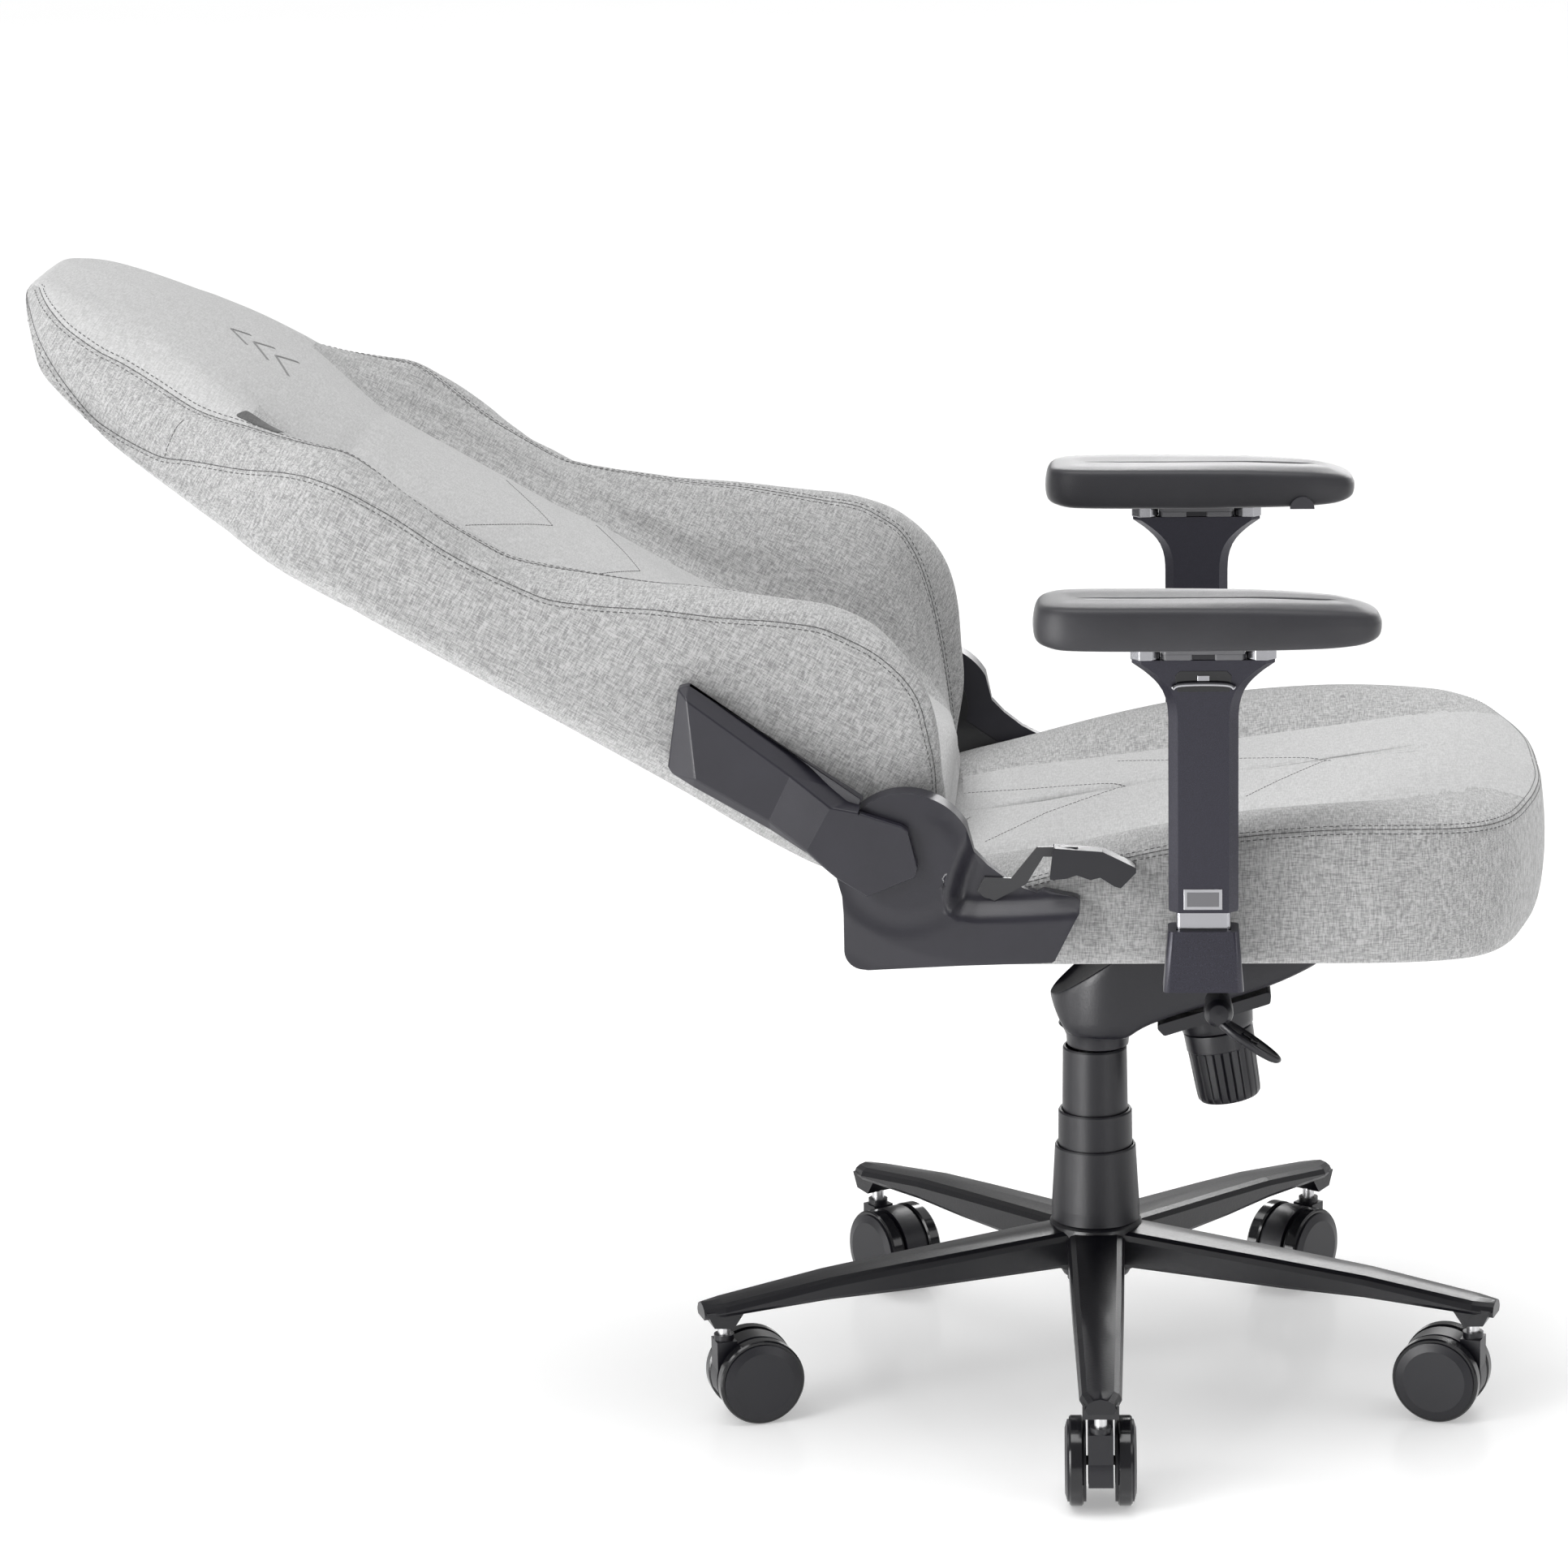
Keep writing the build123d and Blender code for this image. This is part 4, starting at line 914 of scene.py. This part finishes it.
def hinge_covers():
    """Scooped cover on the seat side, faceted arm on the backrest side, both sides of the chair."""
    outline = (arc(HINGE_AT, 57.5, 188, 30, 40)
               + [(-94, 549), (-83, 537.5), (-67, 525), (-54, 518), (-43, 514), (-38, 516.5), (-11, 511),
                  (-8.4, 509), (-9, 500), (-12.5, 494), (-29, 461), (-31.5, 459.2), (-105, 456.8),
                  (-181, 451.8)]
               + arc((-184, 468.5), 16.2, 268, 182, 8) + [(-200, 500), (-201, 515)])
    right = relief_shell("seat_hinge_shell_right", outline, [SCOOP[1:-1]], seat_cover_depth, 271.5, 3.2,
                         FINISHES["hinge_plastic"], 32)
    rounded_edges(right, 0.0016, 40)
    left = mirrored(right, "seat_hinge_shell_left")
    for piece, side in ((right, "right"), (left, "left")):
        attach(piece, "seat")
        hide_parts(f"seat_hinge_cover_{side}")

    corner = {"tip": (-323, 688, 284), "toe": (-331.5, 686, 286), "low_toe": (-341, 621.5, 288),
              "heel": (-337.5, 616, 289), "under": (-319.5, 606.5, 297), "step_low": (-259, 571.5, 297),
              "plate_low": (-229, 553, 303), "left_top": (-324, 680, 302), "left_low": (-318, 614.5, 303),
              "step_top": (-241, 617.5, 303), "step_base": (-259, 580, 303),
              "plate_top": (-208.6, 592, 308), "plate_base": (-228.4, 556, 308),
              "ridge": (-184, 597, 286), "shoulder": (-186, 587.5, 308), "nose_top": (-151, 576, 308),
              "nose_side": (-146.6, 573, 308), "nose": (-139, 541, 308), "nose_low": (-141, 534, 308),
              "foot": (-180, 517.5, 308), "foot_edge": (-205, 533.4, 308)}
    panels = [("left_top", "step_top", "step_base", "left_low"),
              ("left_top", "left_low", "heel", "low_toe", "toe"),
              ("toe", "tip", "left_top"),
              ("left_top", "tip", "ridge", "step_top"),
              ("step_top", "ridge", "plate_top"),
              ("plate_top", "ridge", "shoulder"),
              ("step_top", "plate_top", "plate_base", "step_base"),
              ("left_low", "step_base", "step_low", "under"), ("left_low", "under", "heel"),
              ("step_base", "plate_base", "plate_low", "step_low"),
              ("plate_top", "shoulder", "nose_top", "nose_side", "nose", "nose_low", "foot", "foot_edge",
               "plate_base"),
              ("plate_base", "foot_edge", "plate_low")]
    rim = ["tip", "toe", "low_toe", "heel", "under", "step_low", "plate_low", "foot_edge", "foot",
           "nose_low", "nose", "nose_side", "nose_top", "shoulder", "ridge"]
    index = {key: i for i, key in enumerate(corner)}
    verts = [(x, -y, z) for x, z, y in corner.values()]
    faces = [tuple(index[key] for key in panel) for panel in panels]
    inner = {}
    for key in rim:
        x, z, _ = corner[key]
        near = (Vector((x, z)) - Vector(HINGE_AT)).length < 66
        inner[key] = len(verts)
        verts.append((x, -298.0 if near else -271.5, z))
    for a, b in zip(rim, rim[1:] + rim[:1]):
        faces.append((index[a], index[b], inner[b], inner[a]))
    faces.append(tuple(inner[key] for key in rim))
    right = mesh_piece("back_hinge_arm_right", verts, faces, [FINISHES["hinge_plastic"]])
    recalculated(right)
    right.data.set_sharp_from_angle(angle=math.radians(6))
    rounded_edges(right, 0.0013, 8)
    left = mirrored(right, "back_hinge_arm_left")
    for piece, side in ((right, "right"), (left, "left")):
        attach(piece, "backrest")
        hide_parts(f"back_hinge_cover_{side}")


# ---- armrest pads --------------------------------------------------------------------------------
PAD_OUTLINE = [(-45, 0), (-43.5, 20), (-38, 33), (-26, 42.5), (-5, 46.5), (40, 47.5), (110, 47),
               (165, 44.5), (200, 39), (222, 29), (231, 16), (233, 0)]
PAD_TOP = through([(-45, 761), (-20, 762.3), (120, 762.3), (190, 760), (233, 754)])
PAD_UNDER = through([(-45, 728.5), (-20, 726.5), (60, 726), (180, 726.5), (215, 727.5), (233, 730)])
PAD_CROWN = through([(-45, 3.0), (60, 4.0), (140, 8.0), (233, 13.0)])


def armrest_pad(name, side):
    """Self-skinned foam pad, dished a little along the middle, softer towards the front."""
    half = smooth_run(PAD_OUTLINE, [5, 4, 4, 5, 7, 9, 8, 6, 5, 4, 4])
    outline = [Vector((p.x, p.y)) for p in half] + [Vector((p.x, -p.y)) for p in half[-2:0:-1]]
    count = len(outline)
    inward = []
    for i in range(count):
        along = (outline[(i + 1) % count] - outline[i - 1]).normalized()
        inward.append(Vector((along.y, -along.x)))
    rings = []
    for inset, share in ((26, 0), (10, 0), (5.5, 0.012), (2.6, 0.06), (1.0, 0.14), (0.2, 0.27), (0, 0.42),
                         (0.3, 0.58), (0.9, 0.72), (1.7, 0.84), (2.9, 0.93), (4.8, 0.98), (8, 1.0),
                         (14, 1.0), (21, 1.0)):
        ring = []
        for p, way in zip(outline, inward):
            soft = PAD_CROWN(p.x)
            spot = p + way * inset
            low = PAD_UNDER(p.x)
            high = PAD_TOP(p.x)
            if share > 0.6:
                high = PAD_TOP(spot.x) - max(0.0, 1 - inset / 24) * soft * 0.35
            ring.append(Vector((spot.x, side * ARMREST_AT + spot.y, low + (high - low) * share)))
        rings.append(ring)
    inner_rim = rings[-1]
    for k in (0.25, 0.5, 0.75, 0.95):
        ring = []
        for v in inner_rim:
            target = Vector((max(-10, min(v.x, 195)), side * ARMREST_AT, v.z))
            spot = v.lerp(target, k)
            ring.append(Vector((spot.x, spot.y, PAD_TOP(spot.x) - 0.8 * math.sin(k * math.pi / 2))))
        rings.append(ring)
    verts, faces = skin_rings(rings)
    piece = mesh_piece(name, verts, faces, [FINISHES["pad_skin"]])
    recalculated(piece)
    subdivided(piece)
    return piece


def armrest_pads():
    """Both pads on their slide carriages."""
    for side, word in ((-1, "right"), (1, "left")):
        piece = armrest_pad(f"armrest_pad_skin_{word}", side)
        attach(piece, f"pad_{word}")
        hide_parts(f"armrest_pad_{word}")


# ---- armrest columns -----------------------------------------------------------------------------
COLUMN_AT = 91.0
COLUMN_HALF = 16.5        # half the sleeve's thickness
COLUMN_CUT = 7.6          # clipped corners of the sleeve
CLIP_UNDER = 714.5
CLIP_REACH = 58.0
TRIGGER_MIDDLE = 91.0
CARRIAGE_HALF = 33.0
CLIP_GAP = 1.2           # running room between a clip and the slide carriage
FLARE = through([(506, 27.4), (508, 28), (664, 28), (676, 28.8), (686, 31.6), (694, 36.5), (701, 43.5),
                 (707, 51), (711, 57), (714, 57)])


def octagon(at_x, at_y, half_x, half_y, cut, z):
    """Closed section with clipped corners."""
    return [Vector((at_x + sx * x, at_y + sy * y, z)) for sx, sy, x, y in (
        (1, -1, half_x - cut, half_y), (1, -1, half_x, half_y - cut), (1, 1, half_x, half_y - cut),
        (1, 1, half_x - cut, half_y), (-1, 1, half_x - cut, half_y), (-1, 1, half_x, half_y - cut),
        (-1, -1, half_x, half_y - cut), (-1, -1, half_x - cut, half_y))]


def crisp_piece(name, rings, finish, radius, angle=20):
    """Ringed solid with crisp faces and small edge radii."""
    verts = [v for ring in rings for v in ring]
    count = len(rings[0])
    faces = [(r * count + i, r * count + (i + 1) % count, (r + 1) * count + (i + 1) % count,
              (r + 1) * count + i) for r in range(len(rings) - 1) for i in range(count)]
    faces.append(tuple(range(count)))
    faces.append(tuple(range(len(verts) - count, len(verts))))
    piece = mesh_piece(name, verts, faces, [finish])
    recalculated(piece)
    piece.data.set_sharp_from_angle(angle=math.radians(angle))
    if radius:
        rounded_edges(piece, radius, angle)
    return piece


def block(name, lows, highs, cut, finish, radius):
    """Box between two corners with its upright edges clipped."""
    at_x, at_y = (lows[0] + highs[0]) / 2, (lows[1] + highs[1]) / 2
    half_x, half_y = (highs[0] - lows[0]) / 2, (highs[1] - lows[1]) / 2
    return crisp_piece(name, [octagon(at_x, at_y, half_x, half_y, cut, z) for z in (lows[2], highs[2])],
                       finish, radius)


def tube_piece(name, points, radius, finish, flat=1.0):
    """Rod along a line of points, swelling a little at both ends."""
    run = smooth_run(points, [6] * (len(points) - 1))
    rings = []
    for i, p in enumerate(run):
        along = (run[min(i + 1, len(run) - 1)] - run[max(i - 1, 0)]).normalized()
        across = along.cross(Vector((0, 1, 0))).normalized()
        end = min(i, len(run) - 1 - i)
        swell = radius * (0.7, 1.25, 1.2)[end] if end < 3 else radius
        rings.append([p + across * (math.cos(k * math.pi / 6) * swell)
                      + Vector((0, 1, 0)) * (math.sin(k * math.pi / 6) * swell * flat) for k in range(12)])
    verts, faces = skin_rings(rings)
    piece = mesh_piece(name, verts, faces, [finish])
    recalculated(piece)
    return piece


def armrest_column(side, word):
    """Flared sleeve with its insert, trigger, blank plate, chrome clips and slide blocks."""
    y = side * ARMREST_AT
    out = side * (ARMREST_AT + COLUMN_HALF)
    heights = [506, 508, 560, 620, 664, 670, 676, 682, 688, 693, 697, 701, 704.5, 708, 711, 714]
    sleeve = crisp_piece(f"armrest_column_{word}", [octagon(COLUMN_AT, y, FLARE(z), COLUMN_HALF,
                                                            COLUMN_CUT, z) for z in heights],
                          FINISHES["sleeve_metal"], 0, 24)
    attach(sleeve, f"arm_{word}")
    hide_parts(f"armrest_sleeve_{word}")

    corners = [(68, 701.5), (72, 705.5), (110, 705.5), (114, 701.5), (112, 688.5), (70, 688.5)]
    ring = [Vector((x, out - side * 1.0, z)) for x, z in corners]
    front = [Vector((x + (TRIGGER_MIDDLE - x) * 0.02, out + side * 0.35, z)) for x, z in corners]
    insert = crisp_piece(f"trigger_insert_{word}", [ring, front], FINISHES["tread_plastic"], 0.0002)
    plate = block(f"blank_plate_{word}", (75, min(out - side, out + side * 0.9), 509),
                  (106, max(out - side, out + side * 0.9), 526), 0.4, PLATE_METAL, 0.0003)
    inlay = block(f"blank_plate_inlay_{word}", (77.5, min(out - side, out + side * 1.05), 511.5),
                  (103.5, max(out - side, out + side * 1.05), 523.5), 0.2,
                  FINISHES["carriage_metal"], 0.0001)
    for piece in (insert, plate, inlay):
        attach(piece, f"arm_{word}")

    bar = tube_piece(f"trigger_bar_{word}", [(66, out + side * 2.0, 691.5), (72, out + side * 2.6, 694.6),
                                             (91, out + side * 2.8, 695.4), (110, out + side * 2.6, 694.6),
                                             (116, out + side * 2.0, 691.5)], 1.9,
                     FINISHES["post_chrome"])
    tongue = block(f"trigger_tongue_{word}", (86, min(out - side, out + side * 1.4), 697.5),
                   (96, max(out - side, out + side * 1.4), 702.0), 0.4, FINISHES["post_chrome"], 0.0004)
    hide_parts(f"armrest_trigger_{word}")
    for piece in (bar, tongue):
        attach(piece, f"arm_trigger_{word}")

    for end, sign in (("rear", -1), ("front", 1)):
        x0, x1 = sorted((COLUMN_AT + sign * (CARRIAGE_HALF + CLIP_GAP), COLUMN_AT + sign * CLIP_REACH))
        clip = block(f"chrome_clip_{end}_{word}", (x0, y - 20, CLIP_UNDER), (x1, y + 20, 723.4), 7.0,
                     FINISHES["post_chrome"], 0.0006)
        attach(clip, f"arm_swivel_{word}")
        if sign < 0:
            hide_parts(f"armrest_swivel_plate_{word}")
        x0, x1 = sorted((COLUMN_AT + sign * 9, COLUMN_AT + sign * 31.5))
        jaw = block(f"clip_jaw_{end}_{word}", (x0, y - 18.4, CLIP_UNDER), (x1, y + 18.4, 719.2), 1.2,
                    FINISHES["carriage_metal"], 0.0004)
        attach(jaw, f"arm_swivel_{word}")
    core = block(f"clip_core_{word}", (COLUMN_AT - 34, y - 16.5, 714.6), (COLUMN_AT + 34, y + 16.5, 719.6),
                 2, FINISHES["control_plastic"], 0.0004)
    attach(core, f"arm_swivel_{word}")


# ---- tilt mechanism, knob and lever --------------------------------------------------------------
BODY_HALF = through([(-38, 4), (-36, 14), (-32, 23), (-25, 31.5), (-14, 40), (0, 46), (14, 48), (170, 48),
                     (190, 45), (197, 42)])
BODY_UNDER = through([(-38, 350), (-36, 344), (-32, 334), (-25, 322), (-20, 319), (27, 319), (36, 326),
                      (47, 332), (153, 367.5), (180, 380), (194, 388), (197, 393)])
BODY_RIM = through([(-38, 352), (28, 398), (42, 405), (60, 407), (130, 408), (150, 414), (185, 416),
                    (197, 404)])
KNOB_TOP = (106.5, 0, 320)
KNOB_LEAN = math.radians(-9.5)
LEVER_AT = (105.0, 372.0)      # x and z of the lever's pivot end
PADDLE_HALF = (33, 15.5)


def tilt_housing():
    """Cast housing: dished sloping top behind a thin lip, keel underneath, collar on the lift."""
    stations = [-38, -37.3, -36, -34, -31, -27, -22, -16, -9, 0, 10, 20, 28, 36, 47, 65, 85, 105, 125, 140,
                153, 168, 180, 188, 194, 197]
    rings = []
    for x in stations:
        half, under, rim = BODY_HALF(x), BODY_UNDER(x), BODY_RIM(x)
        dish = min(5.0, max(0.5, (x + 38) * 0.4)) if x < 150 else 1.0
        keel = min(9.0, half * 0.3)
        side = [(0, under), (half - keel, under), (half - keel * 0.35, under + keel * 0.25),
                (half - 0.6, under + keel * 0.9), (half, rim - 1.4), (half - 0.8, rim - 0.2),
                (half - 2.2 if half > 6 else half * 0.7, rim),
                (half - 4.2 if half > 8 else half * 0.5, rim - 0.4),
                (half - 6.2 if half > 12 else half * 0.35, rim - dish), (0, rim - dish)]
        rings.append([Vector((x, -y, z)) for y, z in side]
                     + [Vector((x, y, z)) for y, z in side[-2:0:-1]])
    verts, faces = skin_rings(rings)
    body = mesh_piece("tilt_housing", verts, faces, [FINISHES["mechanism_metal"]])
    recalculated(body)
    subdivided(body)
    collar_profile = [(0, 304), (24.5, 304), (26.6, 305.5), (27, 308), (27.4, 314), (30, 320), (34, 324),
                      (0, 324)]
    collar = lathe("housing_collar", (2.6, 0), collar_profile, FINISHES["mechanism_metal"])
    ribs = []
    low_rib = [(13, 374), (14, 378.5), (30, 386), (52, 398), (56, 389), (34, 381)]
    high_rib = [(15, 388), (17, 394), (34, 402), (54, 406), (50, 398), (30, 391)]
    for name, profile, y0, y1 in (("low", low_rib, -45, -33), ("high", high_rib, -29, -17)):
        for word, sign in (("right", 1), ("left", -1)):
            rib = crisp_piece(f"housing_rib_{name}_{word}",
                              [[Vector((x, sign * y, z)) for x, z in profile] for y in (y0, y1)],
                              FINISHES["mechanism_metal"], 0.0007)
            ribs.append(rib)
    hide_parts("mechanism_housing")
    for piece in (body, collar, *ribs):
        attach(piece, "mechanism")


def lathe(name, centre, profile, finish, steps=96, flute=None, place=None):
    """Turned piece about an upright axis.

    flute(angle step, row) trims the radius, and place moves the result.
    """
    rings = []
    for row, (radius, z) in enumerate(profile):
        ring = []
        for k in range(steps):
            angle = 2 * math.pi * k / steps
            r = max(0.01, radius - (flute(k, row) if flute else 0))
            ring.append(Vector((centre[0] + r * math.cos(angle), centre[1] + r * math.sin(angle), z)))
        rings.append(ring)
    verts, faces = skin_rings(rings)
    if place:
        verts = [place @ Vector(v) for v in verts]
    piece = mesh_piece(name, verts, faces, [finish])
    recalculated(piece)
    piece.data.set_sharp_from_angle(angle=math.radians(32))
    return piece


def tension_knob():
    """Fluted knob with a plain band on top, leaning back on its bolt."""
    lean = Matrix.Translation(KNOB_TOP) @ Matrix.Rotation(KNOB_LEAN, 4, "Y")
    profile = [(0, -1), (22, -1), (22.6, 0), (29.3, 0), (30.2, -0.8), (30.3, -2), (29.9, -15), (29.9, -16),
               (29.3, -16.6), (29.2, -18), (28.6, -34), (28.1, -50), (27.7, -57), (27.2, -60.5), (25.4, -63),
               (22, -64), (0, -64)]

    def flute(k, row):
        return 1.5 if 9 <= row <= 13 and k % 6 == 0 else 0.0

    knob = lathe("tension_knob_ribbed", (0, 0), profile, FINISHES["control_plastic"], 144, flute, lean)
    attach(knob, "knob")
    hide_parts("tension_knob")


def height_lever():
    """Rod, round sleeve end and oval paddle with a rim and a plain arrow."""
    x, z = LEVER_AT
    rod_line = [(x, -30, z - 1.3), (x, -80, z + 3.0), (x, -130, z + 7.5), (x, -172, z + 11)]
    rod = tube_piece("lever_rod", rod_line, 5.2, FINISHES["control_plastic"])
    profile = [(0, 36), (9.6, 36), (10.8, 35), (11.2, 33), (11.6, 8), (12.2, 2), (12.2, -18), (11.4, -23),
               (8, -27), (0, -28)]
    turn = Matrix.Translation((x, -158, z + 9)) @ Matrix.Rotation(math.radians(-90 - 5), 4, "X")
    sleeve = lathe("lever_sleeve", (0, 0), profile, FINISHES["control_plastic"], 48, None, turn)
    across = Vector((0, 1, 0))
    along = Vector((0.82, 0, -0.57)).normalized()
    lift = Vector((0.57, 0, 0.82)).normalized()
    middle = Vector((x + 26, -177, 358))
    rings = []
    for grow, height in ((0.55, -4.2), (0.8, -4.0), (0.93, -3.0), (1.0, -0.5), (1.0, 1.4), (0.96, 2.9),
                         (0.90, 3.4), (0.84, 3.0), (0.79, 1.9), (0.5, 1.7), (0.2, 1.7)):
        rings.append([middle + along * (PADDLE_HALF[0] * grow * math.cos(a) - 2)
                      + across * (PADDLE_HALF[1] * grow * math.sin(a)) + lift * height
                      for a in (2 * math.pi * k / 48 for k in range(48))])
    verts, faces = skin_rings(rings)
    paddle = mesh_piece("lever_paddle", verts, faces, [FINISHES["control_plastic"]])
    recalculated(paddle)
    subdivided(paddle)
    marks = []
    for k, stroke in enumerate((((-6, 0), (4, 0)), ((4, 0), (-1, -5)), ((4, 0), (-1, 5)))):
        tail, tip = [middle + along * (u * 1.6) + across * v + lift * 2.4 for u, v in stroke]
        marks.append(tube_piece(f"paddle_arrow_{k}", [tuple(tail), tuple((tail + tip) / 2), tuple(tip)],
                                0.9, FINISHES["control_plastic"]))
    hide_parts("lift_lever")
    for piece in (rod, sleeve, paddle, *marks):
        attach(piece, "height_lever")


def side_label(cushion):
    """Blank woven tag sewn in beside the head's welt on the sitter's right."""
    tree = settled_tree(cushion)
    rows = []
    for k in range(9):
        s = 618 + k * 4.6
        row = []
        for j in range(4):
            slant = 4 - j * 3.0
            spot = back_spot(s + slant, -BACK["welt_y"](s) + 1.5 + 4.4 * j, BACK["welt"](s) + 12) * 0.001
            near, normal, _, _ = tree.find_nearest(spot)
            row.append((near + normal * (0.0007 + 0.0005 * j)) * 1000)
        rows.append(row)
    verts = [v for row in rows for v in row]
    faces = [(r * 4 + c, r * 4 + c + 1, r * 4 + c + 5, r * 4 + c + 4) for r in range(8) for c in range(3)]
    label = mesh_piece("side_label", verts, faces, [LABEL])
    thick = label.modifiers.new("thickness", "SOLIDIFY")
    thick.thickness = 0.0007
    subdivided(label)
    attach(label, "backrest")
    motif = []
    for k in range(3):
        rise = 640 + k * 22
        motif.append([(rise, -34 + 6 * k), (rise + 20, 0), (rise, 34 - 6 * k)])
    lines = []
    for points in motif:
        run = [back_spot(s, y, 90) * 0.001 for s, y in points]
        lines.append([tree.ray_cast(p, -FRONT)[0] or p for p in resampled(run, 0.003)])
    emblem = sewn("head_motif", tree, lines, (-0.0012, 0.0, 0.0012), 0.0032, 0.0031, 0.0004, PALE_THREAD)
    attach(emblem, "backrest")


def softened_nodes():
    """Edge radii on the hard CAD nodes, on joined corners only."""
    widths = {"star_base": 0.0018, "armrest_brackets": 0.0012, "seat_plate": 0.001, "spring_cover": 0.0008,
              "recline_lever": 0.0006, "recline_grip": 0.0015}
    for name, width in widths.items():
        node = frame["nodes"][name]
        weld = node.modifiers.new("weld", "WELD")
        weld.merge_threshold = 0.00002
        rounded_edges(node, width, 35, 2)


dress_nodes()
aimed_camera()
studio()
back_cushion()
seat_cushion()
side_label(bpy.data.objects["back_cushion_cover"])
hinge_covers()
armrest_pads()
for column_side, column_word in ((-1, "right"), (1, "left")):
    armrest_column(column_side, column_word)
tilt_housing()
tension_knob()
height_lever()
softened_nodes()
